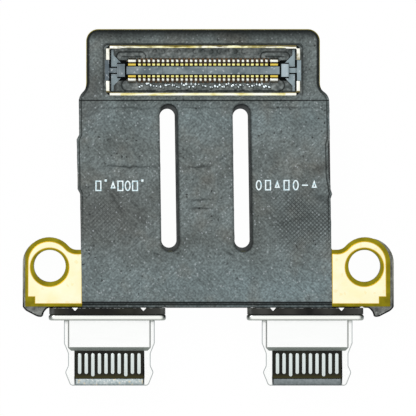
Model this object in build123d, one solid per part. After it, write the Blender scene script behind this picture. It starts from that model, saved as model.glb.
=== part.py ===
from build123d import *
import os
from math import atan2, degrees, hypot, sqrt

# A laptop's twin charging-port board: two reversible ports, a flexible tail and a shielded board connector.
# Millimetres. The origin is midway between the two screw holes, on the bracket's underside.
# +X runs along the ports, +Y from the ports to the board connector, +Z out of the board's face.

# Ports: spacing, and the shift of the pair and of the flanges from centre
PORT_PITCH = 15.0
PORT_SHIFT = 0.09
FLANGE_SHIFT = -0.15

# Screw holes, each set out from its port's centre line, and the ears around them
HOLE_OFFSET = 4.425
HOLE_RADIUS = 1.215
EAR_WALL = 0.715
EAR_OUTSET = 0.035
EAR_RISE = 0.25
EAR_INNER_REACH = 2.455
LEFT_EAR_TRIM = 0.11
NECK_Y = 1.23
NECK_RADIUS = 0.85

# Layers above the bracket
BOARD_RISE = 0.35
PORT_BOARD_THICKNESS = 0.44
FLEX_THICKNESS = 0.16
FILM_THICKNESS = 0.04
PAD_THICKNESS = 0.03
STIFFENER_THICKNESS = 0.20

# Front of the board, where the ports sit
BOARD_FRONT_Y = -3.08
BOARD_REAR_INSET = 0.08
FLEX_SETBACK = 0.26
FILM_LIP = 0.07
FILM_STEP_RUN = 0.08

# Gold ground pads
PAD_INSET = 0.30
PAD_FRONT_INSET = 0.205
PAD_NOTCH = 0.53
PAD_HOLE_CLEARANCE = 0.22
PAD_HOLE_DROP = 0.10

# Tail, whose centre line leans a little to the left on its way to the head
TAIL_SPREAD = 0.02
TAIL_BASE_RISE = 0.07
TAIL_BASE_X = -0.07
TAIL_TOP_X = -0.231
FILM_OVERHANG = 0.22

# Two long slots in the tail
SLOT_WIDTH = 1.14
SLOT_BASE_MARGIN = 0.0925
SLOT_TOP_MARGIN = 0.6425
SLOT_PITCH = 5.54
SLOT_PAIR_X = -0.19
TOP_SLOT_EXTRA_WIDTH = 0.19
TOP_SLOT_EXTRA_LENGTH = 0.60
SLOT_SEAL = 0.15
SLOT_END_CUT = 0.40

# Film edge where it was trimmed by hand: a tab on the left, a shallow bite and a tip on the right
EDGE_OVERLAP = 0.20
TAB_REACH = 0.19
TAB_RAMP = 0.38
TAB_TOP_Y = 9.95
TAB_BASE_Y = 5.45
BITE_DEPTH = 0.13
BITE_TOP_RAMP = 0.40
BITE_BASE_RAMP = 0.65
BITE_TOP_Y = 9.60
BITE_BASE_Y = 6.10
TIP_REACH = 0.12
TIP_RAMP = 0.36
TIP_Y = 5.45

# Head, which follows the board connector's fence
HEAD_X = -0.305
HEAD_SIDE_MARGIN = 1.51
HEAD_TOP_MARGIN = 1.23
HEAD_CORNER_RADIUS = 0.91
HEAD_FILM_INSET = 0.05
SEAM_MARGIN = 0.36
SEAM_GAP = 0.03
FLARE_DROP = 0.10
FLARE_RISE = 1.35
WINDOW_CLEARANCE_X = 0.18
WINDOW_CLEARANCE_Y = 0.09
WINDOW_CORNER_CUT = 0.15
STIFFENER_INSET = 0.35
STIFFENER_LOW_INSET = 0.70
STIFFENER_CORNER_CUT = 0.40

# Board connector: contacts
CONNECTOR_Y = 14.81
SIGNALS_PER_ROW = 28
SIGNAL_PITCH = 0.356
SIGNAL_WIDTH = 0.22
POWER_WIDTH = 0.59
POWER_GAP = 0.17
CONTACT_STOCK = 0.06
LEG_SPLAY = 0.15
WALL_CLEARANCE = 0.01
GROOVE_TAPER = 0.11
GROOVE_LIFT = 0.09
TIP_GAP = 0.09
TIP_HEIGHT = 0.51

# Board connector: moulded body
ISLAND_WIDTH = 0.59
ISLAND_END_GAP = 0.12
ISLAND_HEIGHT = 0.60
CONNECTOR_FLOOR = 0.06
GROOVE_WIDTH = 0.365
WALL_THICKNESS = 0.10
WALL_HEIGHT = 0.36
END_BLOCK_LENGTH = 0.59
END_BLOCK_WIDTH = 0.98
END_BLOCK_GAP = 0.12
BRIDGE_WIDTH = 0.38
BRIDGE_HEIGHT = 0.45
BRIDGE_LENGTH = 0.61
END_WALL_LENGTH = 0.31
END_WALL_WIDTH = 1.56
GUIDE_HEIGHT = 0.40
GUIDE_BAR = 0.19
GUIDE_GAP = 0.09
GUIDE_ELBOW = 0.38
GUIDE_FENCE_GAP = 0.07

# Board connector: shield fence
FENCE_END_REACH = 0.224
FENCE_SIDE_REACH = 1.14
FENCE_LIP = 0.25
FENCE_STOCK = 0.08
FENCE_HEIGHT = 0.66
FENCE_RETURN_GAP = 0.02
FENCE_CHAMFER = 0.28

# Port contacts
CONTACT_COUNT = 10
CONTACT_PITCH = 0.50
PAD_WIDTH = 0.32
PAD_GAP = 0.165
PAD_LENGTH = 1.61
LONG_PAD_EXTRA = 0.18
LONG_CONTACTS = (2, 7)
PAD_END_CHAMFER = 0.10
PAD_TIP_MARGIN = 0.13
SKIN_THICKNESS = 0.03
BEAM_STOCK = 0.12
BEAM_MARGIN = 0.02
TOP_RISER_SETBACK = 0.65
FOOT_LENGTH = 0.40

# Port tongue, whose rails stand out from the insulator by different reaches along their length
TONGUE_THICKNESS = 0.70
INSULATOR_MARGIN = 0.19
WEB_THICKNESS = 0.15
NOSE_LENGTH = 0.56
NOSE_ROOT_THICKNESS = 0.60
NOSE_TIP_THICKNESS = 0.28
RAIL_ROOT_REACH = 0.84
RAIL_WAIST_REACH = 0.53
RAIL_BULGE_REACH = 0.76
RAIL_END_REACH = 0.40
RAIL_ROOT_LENGTH = 1.74
WAIST_START = 2.50
WAIST_END = 3.45
BULGE_AT = 3.94
RAIL_BEND_RADIUS = 0.28
RAIL_END_CUT = 0.12
RAIL_TAIL = 1.08

# Port root, collars and flange, whose lower edge is level with the bracket's underside
ROOT_REACH = 0.32
ROOT_THICKNESS = 1.04
COLLAR_WALL = 0.22
COLLAR_ROOF = 0.16
COLLAR_LENGTH = 2.305
COLLAR_BEVEL = 0.28
COLLAR_FRONT_WALL = 0.10
COLLAR_EDGE_RADIUS = 0.18
COLLAR_CORNER_CUT = 0.24
COLLAR_LIP_HEIGHT = 0.02
FLANGE_HEIGHT = 3.20
FLANGE_THICKNESS = 0.45
FLANGE_SIDE_REACH = 1.005
FLANGE_CORNER_RADIUS = 0.50
FLANGE_WINDOW_CLEARANCE = 0.05
FLANGE_WINDOW_CUT = 0.15

# Port rear body and its shell
RIM_LENGTH = 0.50
RIM_INSET = 0.045
RIM_LOWERING = 0.15
RIM_CLEARANCE = 0.03
BODY_SIDE_WALL = 0.56
BODY_STEP_DEPTH = 1.33
REAR_SIDE_WALL = 0.14
BODY_BACK_Y = 0.20
BODY_LOWERING = 0.15
SHELL_THICKNESS = 0.12
SHELL_GROUND_CLEARANCE = 0.15
SHELL_BACK_CLEARANCE = 0.08

# Bracket under the board
BRACKET_EAR_WALL = 0.665
BRACKET_EAR_OUTSET = 0.26
BRACKET_EAR_RISE = 0.22
POCKET_CLEARANCE = 0.08
HOOK_DROP = 0.69
HOOK_TOE = 0.36
HOOK_INNER_CLEARANCE = 0.05
HOOK_HOLLOW = 0.455
HOOK_INNER_RADIUS = 0.75
HOOK_CORNER = 0.18
HOOK_SIDE_RISE = 0.08

# Widths and lengths of the port that follow from its contacts
INSULATOR_WIDTH = (CONTACT_COUNT - 1) * CONTACT_PITCH + PAD_WIDTH + 2 * INSULATOR_MARGIN
RAIL_ROOT_WIDTH = INSULATOR_WIDTH + 2 * RAIL_ROOT_REACH
ROOT_WIDTH = INSULATOR_WIDTH + 2 * ROOT_REACH
COLLAR_WIDTH = ROOT_WIDTH + 2 * COLLAR_WALL
COLLAR_THICKNESS = ROOT_THICKNESS + 2 * COLLAR_ROOF
FLANGE_WIDTH = RAIL_ROOT_WIDTH + 2 * FLANGE_SIDE_REACH
BODY_WIDTH = RAIL_ROOT_WIDTH + 2 * BODY_SIDE_WALL
REAR_WIDTH = (CONTACT_COUNT - 1) * CONTACT_PITCH + PAD_WIDTH + 2 * REAR_SIDE_WALL
PAD_START = COLLAR_LENGTH + PAD_GAP
TONGUE_LENGTH = PAD_START + PAD_LENGTH + LONG_PAD_EXTRA + PAD_TIP_MARGIN + NOSE_LENGTH

# Places along Y from the board's front edge forwards
RIM_BACK_Y = BOARD_FRONT_Y - FILM_LIP - RIM_CLEARANCE
FLANGE_BACK_Y = RIM_BACK_Y - RIM_LENGTH
FLANGE_FRONT_Y = FLANGE_BACK_Y - FLANGE_THICKNESS
TONGUE_TIP_Y = FLANGE_FRONT_Y - TONGUE_LENGTH
INSULATOR_END_Y = TONGUE_TIP_Y + NOSE_LENGTH

# Levels from the bracket's underside up
TONGUE_Z = FLANGE_HEIGHT / 2
BOARD_Z = TONGUE_Z + TONGUE_THICKNESS / 2 + BOARD_RISE
FLEX_Z = BOARD_Z + PORT_BOARD_THICKNESS
TOP_Z = FLEX_Z + FLEX_THICKNESS
BODY_TOP_Z = BOARD_Z - BODY_LOWERING

# Screws, ears and the middle section between them
HOLE_X = PORT_PITCH / 2 + HOLE_OFFSET
EAR_X = HOLE_X + EAR_OUTSET
EAR_RADIUS = HOLE_RADIUS + EAR_WALL
SECTION_X = HOLE_X - EAR_INNER_REACH
FLEX_FRONT_Y = BOARD_FRONT_Y + FLEX_SETBACK
BOARD_REAR_Y = NECK_Y - BOARD_REAR_INSET
SHELL_BACK_Y = BODY_BACK_Y + BEAM_STOCK + SHELL_BACK_CLEARANCE + SHELL_THICKNESS

# Board connector's half-lengths, from its contact rows outwards
ROW_HALF = (SIGNALS_PER_ROW - 1) / 2 * SIGNAL_PITCH + SIGNAL_WIDTH / 2
ISLAND_HALF = ROW_HALF + POWER_GAP + POWER_WIDTH + ISLAND_END_GAP
END_BLOCK_START = ISLAND_HALF + END_BLOCK_GAP
END_BLOCK_END = END_BLOCK_START + END_BLOCK_LENGTH
BRIDGE_END = END_BLOCK_END + BRIDGE_LENGTH
WALL_INNER = ISLAND_WIDTH / 2 + GROOVE_WIDTH
WALL_OUTER = WALL_INNER + WALL_THICKNESS
FENCE_X = BRIDGE_END + FENCE_END_REACH
FENCE_Y = WALL_OUTER + FENCE_SIDE_REACH

# Head and tail, from the connector's fence outwards
HEAD_HALF = FENCE_X + HEAD_SIDE_MARGIN
HEAD_TOP_Y = CONNECTOR_Y + FENCE_Y + HEAD_TOP_MARGIN
SEAM_Y = CONNECTOR_Y - FENCE_Y - SEAM_MARGIN
HEAD_SIDE_Y = SEAM_Y + FLARE_RISE
TAIL_TOP_Y = SEAM_Y - FLARE_DROP
TAIL_BASE_Y = NECK_Y + TAIL_BASE_RISE
TAIL_HALF = SECTION_X + TAIL_SPREAD
TAIL_LEAN = (TAIL_TOP_X - TAIL_BASE_X) / (TAIL_TOP_Y - TAIL_BASE_Y)
SLOT_LOW_Y = TAIL_BASE_Y + SLOT_BASE_MARGIN
SLOT_LENGTH = SEAM_Y - SLOT_TOP_MARGIN - SLOT_LOW_Y


# Shared drawing helpers
def slab(face, low, high):
    """A flat outline drawn out from one height to another."""
    return extrude(Pos(0, 0, low) * face, high - low, dir=(0, 0, 1))


def block(x, y, z):
    """A box given by its two ends along each axis."""
    size = (x[1] - x[0], y[1] - y[0], z[1] - z[0])
    centre = ((x[0] + x[1]) / 2, (y[0] + y[1]) / 2, (z[0] + z[1]) / 2)
    return Pos(*centre) * Box(*size)


def prism_x(points, width):
    """A Y-Z outline drawn out along X, centred on X = 0."""
    face = Plane.YZ.offset(-width / 2) * make_face(Polyline(*points, close=True))
    return extrude(face, width, dir=(1, 0, 0))


def prism_y(face, start, end):
    """An X-Z outline drawn out along Y."""
    return extrude(Plane.XZ.offset(-start) * face, end - start, dir=(0, 1, 0))


def both_sides(shape):
    """The shape and its mirror image across X = 0."""
    return shape + mirror(shape, about=Plane.YZ)


def strip(path, stock):
    """Outline of a bent strip: the path set off to both sides and mitred at its bends."""
    headings = []
    for (ax, ay), (bx, by) in zip(path, path[1:]):
        length = hypot(bx - ax, by - ay)
        headings.append(((bx - ax) / length, (by - ay) / length))
    left, right = [], []
    for index, (x, y) in enumerate(path):
        dx, dy = headings[max(index - 1, 0)]
        ex, ey = headings[min(index, len(headings) - 1)]
        reach = stock / 2 / (1 + dx * ex + dy * ey)
        left.append((x - (dy + ey) * reach, y + (dx + ex) * reach))
        right.append((x + (dy + ey) * reach, y - (dx + ex) * reach))
    return left + right[::-1]


# Board outlines
def lug(centre_x, centre_y, radius, neck_y, neck_radius, inner_x, front_y):
    """Right-hand ear: a round lug that sweeps down to a level neck, with a straight-sided foot."""
    rise = neck_y + neck_radius - centre_y
    run = sqrt((radius + neck_radius) ** 2 - rise**2)
    slope = degrees(atan2(rise, run))
    side_x = centre_x + radius
    neck_x = centre_x - run
    edges = [
        CenterArc((centre_x, centre_y), radius, 0, 180 - slope),
        CenterArc((neck_x, neck_y + neck_radius), neck_radius, -90, 90 - slope),
        Line((neck_x, neck_y), (inner_x, neck_y)),
        Line((inner_x, neck_y), (inner_x, front_y)),
        Line((inner_x, front_y), (side_x, front_y)),
        Line((side_x, front_y), (side_x, centre_y)),
    ]
    return make_face(edges)


def board_ear(inset=0.0):
    """The board's right ear, or the same outline drawn in all round."""
    front_y = BOARD_FRONT_Y if inset == 0 else BOARD_FRONT_Y + PAD_FRONT_INSET
    return lug(EAR_X, EAR_RISE, EAR_RADIUS - inset, NECK_Y - inset, NECK_RADIUS + inset, SECTION_X, front_y)


def board_ears():
    """Both ears of the board, the left one trimmed straight at its side."""
    side_x = -(EAR_X + EAR_RADIUS)
    trim = Pos(side_x + LEFT_EAR_TRIM / 2, 0) * Rectangle(LEFT_EAR_TRIM, 4 * EAR_RADIUS)
    return both_sides(board_ear()) - trim


def screw_holes():
    """Two round holes on the line between the screws, one bore through board and bracket."""
    return both_sides(Pos(HOLE_X) * Circle(HOLE_RADIUS))


def section(low, high):
    """Middle of the board between its two ears, from one Y to another."""
    return Pos(0, (low + high) / 2) * Rectangle(2 * SECTION_X, high - low)


def tail_centre(y):
    """X of the tail's centre line at a given Y."""
    return TAIL_BASE_X + TAIL_LEAN * (y - TAIL_BASE_Y)


def panel(tail_inset, head_inset):
    """Tail and head in one outline, with an S-curve on each side where the head narrows."""
    tail_half = TAIL_HALF - tail_inset
    head_half = HEAD_HALF - head_inset
    top_y = HEAD_TOP_Y - head_inset
    corner = HEAD_CORNER_RADIUS - head_inset
    edges = []
    for side, start_angle in ((-1, 90), (1, 0)):
        base = (TAIL_BASE_X + side * tail_half, TAIL_BASE_Y)
        flare = (TAIL_TOP_X + side * tail_half, TAIL_TOP_Y)
        shoulder = (HEAD_X + side * head_half, HEAD_SIDE_Y)
        middle = ((flare[0] + shoulder[0]) / 2, (flare[1] + shoulder[1]) / 2)
        round_start = (HEAD_X + side * head_half, top_y - corner)
        edges += [
            Line(base, flare),
            TangentArc(flare, middle, tangent=(0, 1)),
            TangentArc(shoulder, middle, tangent=(0, -1)),
            Line(shoulder, round_start),
            CenterArc((HEAD_X + side * (head_half - corner), top_y - corner), corner, start_angle, 90),
        ]
    top_half = head_half - corner
    edges.append(Line((HEAD_X - top_half, top_y), (HEAD_X + top_half, top_y)))
    edges.append(Line((TAIL_BASE_X - tail_half, TAIL_BASE_Y), (TAIL_BASE_X + tail_half, TAIL_BASE_Y)))
    return make_face(edges)


def slots(outline, shift=0.0):
    """One upright slot outline at each of the tail's two slots, turned with its lean."""
    turn = -degrees(atan2(TAIL_LEAN, 1))
    places = [SLOT_PAIR_X + side * SLOT_PITCH / 2 + shift for side in (-1, 1)]
    return [Pos(x, SLOT_LOW_Y + SLOT_LENGTH / 2) * Rot(0, 0, turn) * outline for x in places]


def lower_slots():
    """Slots in the lower film."""
    return slots(SlotOverall(SLOT_LENGTH, SLOT_WIDTH, rotation=90))


def upper_slots():
    """Slots in the upper film, a little longer and a little wider to the right."""
    length = SLOT_LENGTH + TOP_SLOT_EXTRA_LENGTH
    outline = SlotOverall(length, SLOT_WIDTH + TOP_SLOT_EXTRA_WIDTH, rotation=90)
    return slots(outline, TOP_SLOT_EXTRA_WIDTH / 2)


def flex_slots():
    """Slots in the flex, set back all round so that the films close over its edge."""
    width = SLOT_WIDTH + TOP_SLOT_EXTRA_WIDTH + 2 * SLOT_SEAL
    length = SLOT_LENGTH + TOP_SLOT_EXTRA_LENGTH + 2 * SLOT_SEAL
    return slots(clipped_rectangle(width, length, SLOT_END_CUT), TOP_SLOT_EXTRA_WIDTH / 2)


def strip_of_y(face, low, high):
    """The part of an outline between two heights of Y."""
    span = 2 * (HOLE_X + EAR_RADIUS)
    return face & (Pos(0, (low + high) / 2) * Rectangle(span, high - low))


def clipped_rectangle(width, height, cut):
    """A rectangle with its four corners cut off."""
    rectangle = Rectangle(width, height)
    return chamfer(rectangle.vertices(), cut)


# Board and films
def flex_circuit():
    """Flexible circuit: both ears, the slotted tail and the head in one sheet."""
    body = panel(FILM_OVERHANG, 0.0)
    outline = body + section(FLEX_FRONT_Y, TAIL_BASE_Y) + board_ears()
    outline -= flex_slots()
    outline -= screw_holes()
    return slab(outline, FLEX_Z, TOP_Z)


def port_board():
    """Rigid board under the ears and over the port bodies."""
    outline = section(BOARD_FRONT_Y, BOARD_REAR_Y) + board_ears()
    outline -= screw_holes()
    return slab(outline, BOARD_Z, FLEX_Z)


def trimmed_edges(outline):
    """The tail film's hand-trimmed edges."""
    left = [tail_centre(y) - TAIL_HALF for y in (TAB_TOP_Y, TAB_BASE_Y)]
    tab = make_face(
        Polyline(
            (left[0] + EDGE_OVERLAP, TAB_TOP_Y),
            (left[0], TAB_TOP_Y),
            (left[0] - TAB_REACH, TAB_TOP_Y - TAB_RAMP),
            (left[1] - TAB_REACH, TAB_BASE_Y + TAB_RAMP),
            (left[1], TAB_BASE_Y),
            (left[1] + EDGE_OVERLAP, TAB_BASE_Y),
            close=True,
        )
    )
    right = [tail_centre(y) + TAIL_HALF for y in (BITE_TOP_Y, BITE_BASE_Y, TIP_Y)]
    bite = make_face(
        Polyline(
            (right[0], BITE_TOP_Y),
            (right[0] - BITE_DEPTH, BITE_TOP_Y - BITE_TOP_RAMP),
            (right[1] - BITE_DEPTH, BITE_BASE_Y + BITE_BASE_RAMP),
            (right[1], BITE_BASE_Y),
            (right[1] + EDGE_OVERLAP, BITE_BASE_Y),
            (right[0] + EDGE_OVERLAP, BITE_TOP_Y),
            close=True,
        )
    )
    tip = make_face(
        Polyline(
            (right[2] - EDGE_OVERLAP, TIP_Y + TIP_RAMP),
            (right[2], TIP_Y + TIP_RAMP),
            (right[2] + TIP_REACH, TIP_Y),
            (right[2], TIP_Y - TIP_RAMP),
            (right[2] - EDGE_OVERLAP, TIP_Y - TIP_RAMP),
            close=True,
        )
    )
    return outline + tab - bite + tip


def main_shield_film():
    """Upper shield film: the tail, then between the ground pads, and over the board's front edge."""
    tail = strip_of_y(panel(0.0, HEAD_FILM_INSET), TAIL_BASE_Y, SEAM_Y - SEAM_GAP)
    tail = trimmed_edges(tail)
    bend_y = FLEX_FRONT_Y + FILM_THICKNESS
    outline = tail + section(bend_y, TAIL_BASE_Y) - upper_slots()
    sheet = slab(outline, TOP_Z, TOP_Z + FILM_THICKNESS)
    ledge_z = FLEX_Z + FILM_THICKNESS
    step = [
        (bend_y, TOP_Z),
        (bend_y, TOP_Z + FILM_THICKNESS),
        (FLEX_FRONT_Y, TOP_Z + FILM_THICKNESS),
        (FLEX_FRONT_Y - FILM_STEP_RUN, ledge_z),
        (BOARD_FRONT_Y - FILM_LIP, ledge_z),
        (BOARD_FRONT_Y - FILM_LIP, FLEX_Z - FILM_THICKNESS),
        (BOARD_FRONT_Y, FLEX_Z - FILM_THICKNESS),
        (BOARD_FRONT_Y, FLEX_Z),
        (FLEX_FRONT_Y, FLEX_Z),
        (FLEX_FRONT_Y, TOP_Z),
    ]
    return sheet + prism_x(step, 2 * SECTION_X)


def head_shield_film():
    """Upper shield film on the head, with the connector's window."""
    head = strip_of_y(panel(0.0, HEAD_FILM_INSET), SEAM_Y, HEAD_TOP_Y)
    window_x = FENCE_X + WINDOW_CLEARANCE_X
    window_y = FENCE_Y + WINDOW_CLEARANCE_Y
    window = clipped_rectangle(2 * window_x, 2 * window_y, WINDOW_CORNER_CUT)
    return slab(head - Pos(HEAD_X, CONNECTOR_Y) * window, TOP_Z, TOP_Z + FILM_THICKNESS)


def underside_shield_film():
    """Lower shield film, under the tail."""
    outline = strip_of_y(panel(0.0, HEAD_FILM_INSET), TAIL_BASE_Y, SEAM_Y) - lower_slots()
    return slab(outline, FLEX_Z - FILM_THICKNESS, FLEX_Z)


def head_stiffener():
    """Steel plate under the head, behind the connector."""
    width = 2 * (HEAD_HALF - STIFFENER_INSET)
    low_y = HEAD_SIDE_Y - STIFFENER_LOW_INSET
    high_y = HEAD_TOP_Y - STIFFENER_INSET
    plate = clipped_rectangle(width, high_y - low_y, STIFFENER_CORNER_CUT)
    return slab(Pos(HEAD_X, (low_y + high_y) / 2) * plate, FLEX_Z - STIFFENER_THICKNESS, FLEX_Z)


def ground_pad():
    """Right-hand gold pad: it follows the ear, with a square bite out of its outer front corner."""
    outline = board_ear(PAD_INSET)
    corner = (EAR_X + EAR_RADIUS - PAD_INSET, BOARD_FRONT_Y + PAD_FRONT_INSET)
    outline -= Pos(corner[0] - PAD_NOTCH / 2, corner[1] + PAD_NOTCH / 2) * Rectangle(PAD_NOTCH, PAD_NOTCH)
    outline -= Pos(HOLE_X, -PAD_HOLE_DROP) * Circle(HOLE_RADIUS + PAD_HOLE_CLEARANCE)
    return slab(outline, TOP_Z, TOP_Z + PAD_THICKNESS)


# Board connector, drawn about its own centre and then set on the head
def connector_place():
    """Where the board connector's centre sits on the head."""
    return Pos(HEAD_X, CONNECTOR_Y, TOP_Z)


def board_connector_housing():
    """Moulded base with a central island, side walls, end blocks and corner guides."""
    half_island = ISLAND_WIDTH / 2
    half_block = END_BLOCK_WIDTH / 2
    half_bridge = BRIDGE_WIDTH / 2
    half_wall = END_WALL_WIDTH / 2
    wall_end = BRIDGE_END + END_WALL_LENGTH
    island = block((-ISLAND_HALF, ISLAND_HALF), (-half_island, half_island), (0, ISLAND_HEIGHT))
    base = block((-END_BLOCK_END, END_BLOCK_END), (-WALL_OUTER, WALL_OUTER), (0, CONNECTOR_FLOOR))
    wall = block((-ISLAND_HALF, ISLAND_HALF), (WALL_INNER, WALL_OUTER), (0, WALL_HEIGHT))
    end_block = block((END_BLOCK_START, END_BLOCK_END), (-half_block, half_block), (0, ISLAND_HEIGHT))
    bridge = block((END_BLOCK_END, BRIDGE_END), (-half_bridge, half_bridge), (0, BRIDGE_HEIGHT))
    end_wall = block((BRIDGE_END, wall_end), (-half_wall, half_wall), (0, ISLAND_HEIGHT))
    web = block((END_BLOCK_START, BRIDGE_END), (-half_wall, half_wall), (0, CONNECTOR_FLOOR))
    one_end = end_block + bridge + end_wall + web + corner_guides()
    return connector_place() * (island + base + wall + mirror(wall, about=Plane.XZ) + both_sides(one_end))


def corner_guides():
    """Guides in the connector's two right-hand corners: a bar with a brace back to the end block."""
    bar_x = BRIDGE_END - END_WALL_LENGTH / 2
    low_y = BRIDGE_WIDTH / 2 + GUIDE_GAP
    block_y = END_BLOCK_WIDTH / 2 + GUIDE_GAP
    high_y = FENCE_Y - FENCE_LIP - GUIDE_FENCE_GAP
    guide = make_face(
        Polyline(
            (bar_x, low_y),
            (bar_x, high_y),
            (bar_x - GUIDE_BAR, high_y),
            (bar_x - GUIDE_BAR, END_WALL_WIDTH / 2 + GUIDE_ELBOW),
            (END_BLOCK_END - END_BLOCK_LENGTH / 2, block_y),
            (END_BLOCK_END, block_y),
            (END_BLOCK_END, low_y),
            close=True,
        )
    )
    return slab(guide + mirror(guide, about=Plane.XZ), 0, GUIDE_HEIGHT)


def formed_contact(width):
    """One upper-row contact: foot, leg over the side wall, into the groove and up beside the island."""
    half = CONTACT_STOCK / 2
    leg = WALL_OUTER + half
    groove = WALL_INNER - half - WALL_CLEARANCE
    path = [
        (leg + LEG_SPLAY, half),
        (leg, WALL_HEIGHT + half),
        (groove, WALL_HEIGHT + half),
        (groove - GROOVE_TAPER, CONNECTOR_FLOOR + GROOVE_LIFT),
        (ISLAND_WIDTH / 2 + TIP_GAP, TIP_HEIGHT),
    ]
    return prism_x(strip(path, CONTACT_STOCK), width)


def contact_rows(width, places):
    """The same contact at each place along X, in both rows."""
    upper = formed_contact(width)
    lower = mirror(upper, about=Plane.XZ)
    return connector_place() * Compound([Pos(x) * row for x in places for row in (upper, lower)])


def board_connector_signal_contacts():
    """Two rows of signal contacts."""
    middle = (SIGNALS_PER_ROW - 1) / 2
    return contact_rows(SIGNAL_WIDTH, [(i - middle) * SIGNAL_PITCH for i in range(SIGNALS_PER_ROW)])


def board_connector_power_contacts():
    """A wide power contact at each end of each row."""
    centre = ROW_HALF + POWER_GAP + POWER_WIDTH / 2
    return contact_rows(POWER_WIDTH, [-centre, centre])


def board_connector_fence():
    """Formed shield fence along the connector's far side, with a short return at each end."""
    return_y = END_WALL_WIDTH / 2 + FENCE_RETURN_GAP

    def band(width):
        inset = width / 2
        cut = FENCE_CHAMFER
        path = [
            (-FENCE_X + inset, return_y),
            (-FENCE_X + inset, FENCE_Y - cut),
            (-FENCE_X + cut, FENCE_Y - inset),
            (FENCE_X - cut, FENCE_Y - inset),
            (FENCE_X - inset, FENCE_Y - cut),
            (FENCE_X - inset, return_y),
        ]
        return make_face(Polyline(*strip(path, width), close=True))

    lip = slab(band(FENCE_LIP), FENCE_HEIGHT - FENCE_STOCK, FENCE_HEIGHT)
    leg = slab(band(FENCE_STOCK), 0, FENCE_HEIGHT - FENCE_STOCK)
    return lip + leg


# Ports, drawn about the tongue's centre line and then set in place
def port_place(side):
    """Where a port's tongue axis lies: left is -1, right is 1."""
    return Pos(PORT_SHIFT + side * PORT_PITCH / 2, 0, TONGUE_Z)


def rail_outline():
    """Right-hand rail of the mid-plate, waisted where a plug's latches grip."""
    front = FLANGE_FRONT_Y
    inner = INSULATOR_WIDTH / 2
    points = [
        (inner + RAIL_ROOT_REACH, FLANGE_BACK_Y + RAIL_TAIL),
        (inner + RAIL_ROOT_REACH, front - RAIL_ROOT_LENGTH),
        (inner + RAIL_WAIST_REACH, front - WAIST_START),
        (inner + RAIL_WAIST_REACH, front - WAIST_END),
        (inner + RAIL_BULGE_REACH, front - BULGE_AT),
        (inner + RAIL_END_REACH, TONGUE_TIP_Y + RAIL_END_CUT),
    ]
    side = FilletPolyline(*points, radius=RAIL_BEND_RADIUS)
    rest = Polyline(
        points[-1],
        (inner + RAIL_END_REACH - RAIL_END_CUT, TONGUE_TIP_Y),
        (inner, TONGUE_TIP_Y),
        (inner, FLANGE_BACK_Y + RAIL_TAIL),
        points[0],
    )
    return make_face(side.edges() + rest.edges())


def port_midplate():
    """Steel mid-plate: a rail down each side, a thin web between them and a bevelled nose."""
    half = TONGUE_THICKNESS / 2
    rails = slab(both_sides(rail_outline()), -half, half)
    nose = prism_x(
        [
            (INSULATOR_END_Y, -NOSE_ROOT_THICKNESS / 2),
            (INSULATOR_END_Y, NOSE_ROOT_THICKNESS / 2),
            (TONGUE_TIP_Y, NOSE_TIP_THICKNESS / 2),
            (TONGUE_TIP_Y, -NOSE_TIP_THICKNESS / 2),
        ],
        INSULATOR_WIDTH,
    )
    half_web = WEB_THICKNESS / 2
    half_width = INSULATOR_WIDTH / 2
    web_back = FLANGE_BACK_Y + RAIL_TAIL
    web = block((-half_width, half_width), (INSULATOR_END_Y, web_back), (-half_web, half_web))
    return rails + nose + web


def contact_places():
    """X and exposed length of each contact: the power contacts are a little longer."""
    for index in range(CONTACT_COUNT):
        extra = LONG_PAD_EXTRA if index in LONG_CONTACTS else 0
        yield (index - (CONTACT_COUNT - 1) / 2) * CONTACT_PITCH, PAD_LENGTH + extra


def contact_windows():
    """Openings with clipped ends in both faces of the tongue, through which the contacts show."""
    half = TONGUE_THICKNESS / 2
    start = FLANGE_FRONT_Y - PAD_START
    windows = []
    for x, length in contact_places():
        outline = Pos(x, start - length / 2) * clipped_rectangle(PAD_WIDTH, length, PAD_END_CHAMFER)
        windows.append(slab(outline, half - SKIN_THICKNESS, half))
        windows.append(slab(outline, -half, SKIN_THICKNESS - half))
    return windows


def port_contacts(upper):
    """One face's row of contacts: a beam under the tongue's skin, a riser and a foot on the board."""
    half = BEAM_STOCK / 2
    level = TONGUE_THICKNESS / 2 - SKIN_THICKNESS - half
    foot_z = BOARD_Z - TONGUE_Z - half
    side = 1 if upper else -1
    riser = BODY_BACK_Y - TOP_RISER_SETBACK if upper else BODY_BACK_Y + half
    row = []
    for x, length in contact_places():
        tip = FLANGE_FRONT_Y - PAD_START - length - BEAM_MARGIN
        path = [(tip, side * level), (riser, side * level), (riser, foot_z), (riser - FOOT_LENGTH, foot_z)]
        row.append(Pos(x) * prism_x(strip(path, BEAM_STOCK), PAD_WIDTH + 2 * BEAM_MARGIN))
    return Compound(row)


def port_root():
    """Thicker step of the insulator at the tongue's root, inside the collars."""
    end = FLANGE_FRONT_Y - COLLAR_LENGTH + COLLAR_BEVEL + COLLAR_FRONT_WALL
    half_x = ROOT_WIDTH / 2
    half_z = ROOT_THICKNESS / 2
    return block((-half_x, half_x), (end, FLANGE_BACK_Y), (-half_z, half_z))


def rim_outline():
    """Round-cornered front rim of the rear body, just inside the flange's outline."""
    width = FLANGE_WIDTH - 2 * RIM_INSET
    height = FLANGE_HEIGHT - 2 * RIM_LOWERING
    return Pos(FLANGE_SHIFT, 0) * RectangleRounded(width, height, FLANGE_CORNER_RADIUS - RIM_INSET)


def body_outline(margin, back):
    """Plan of the rear body: wide behind the rim, then narrower so that it clears the screw."""
    wide = BODY_WIDTH / 2 + margin
    narrow = REAR_WIDTH / 2 + margin
    step = RIM_BACK_Y + BODY_STEP_DEPTH + margin
    right = [(wide, RIM_BACK_Y), (wide, step), (narrow, step), (narrow, back)]
    left = [(-x, y) for x, y in reversed(right)]
    return make_face(Polyline(*right, *left, close=True))


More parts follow.
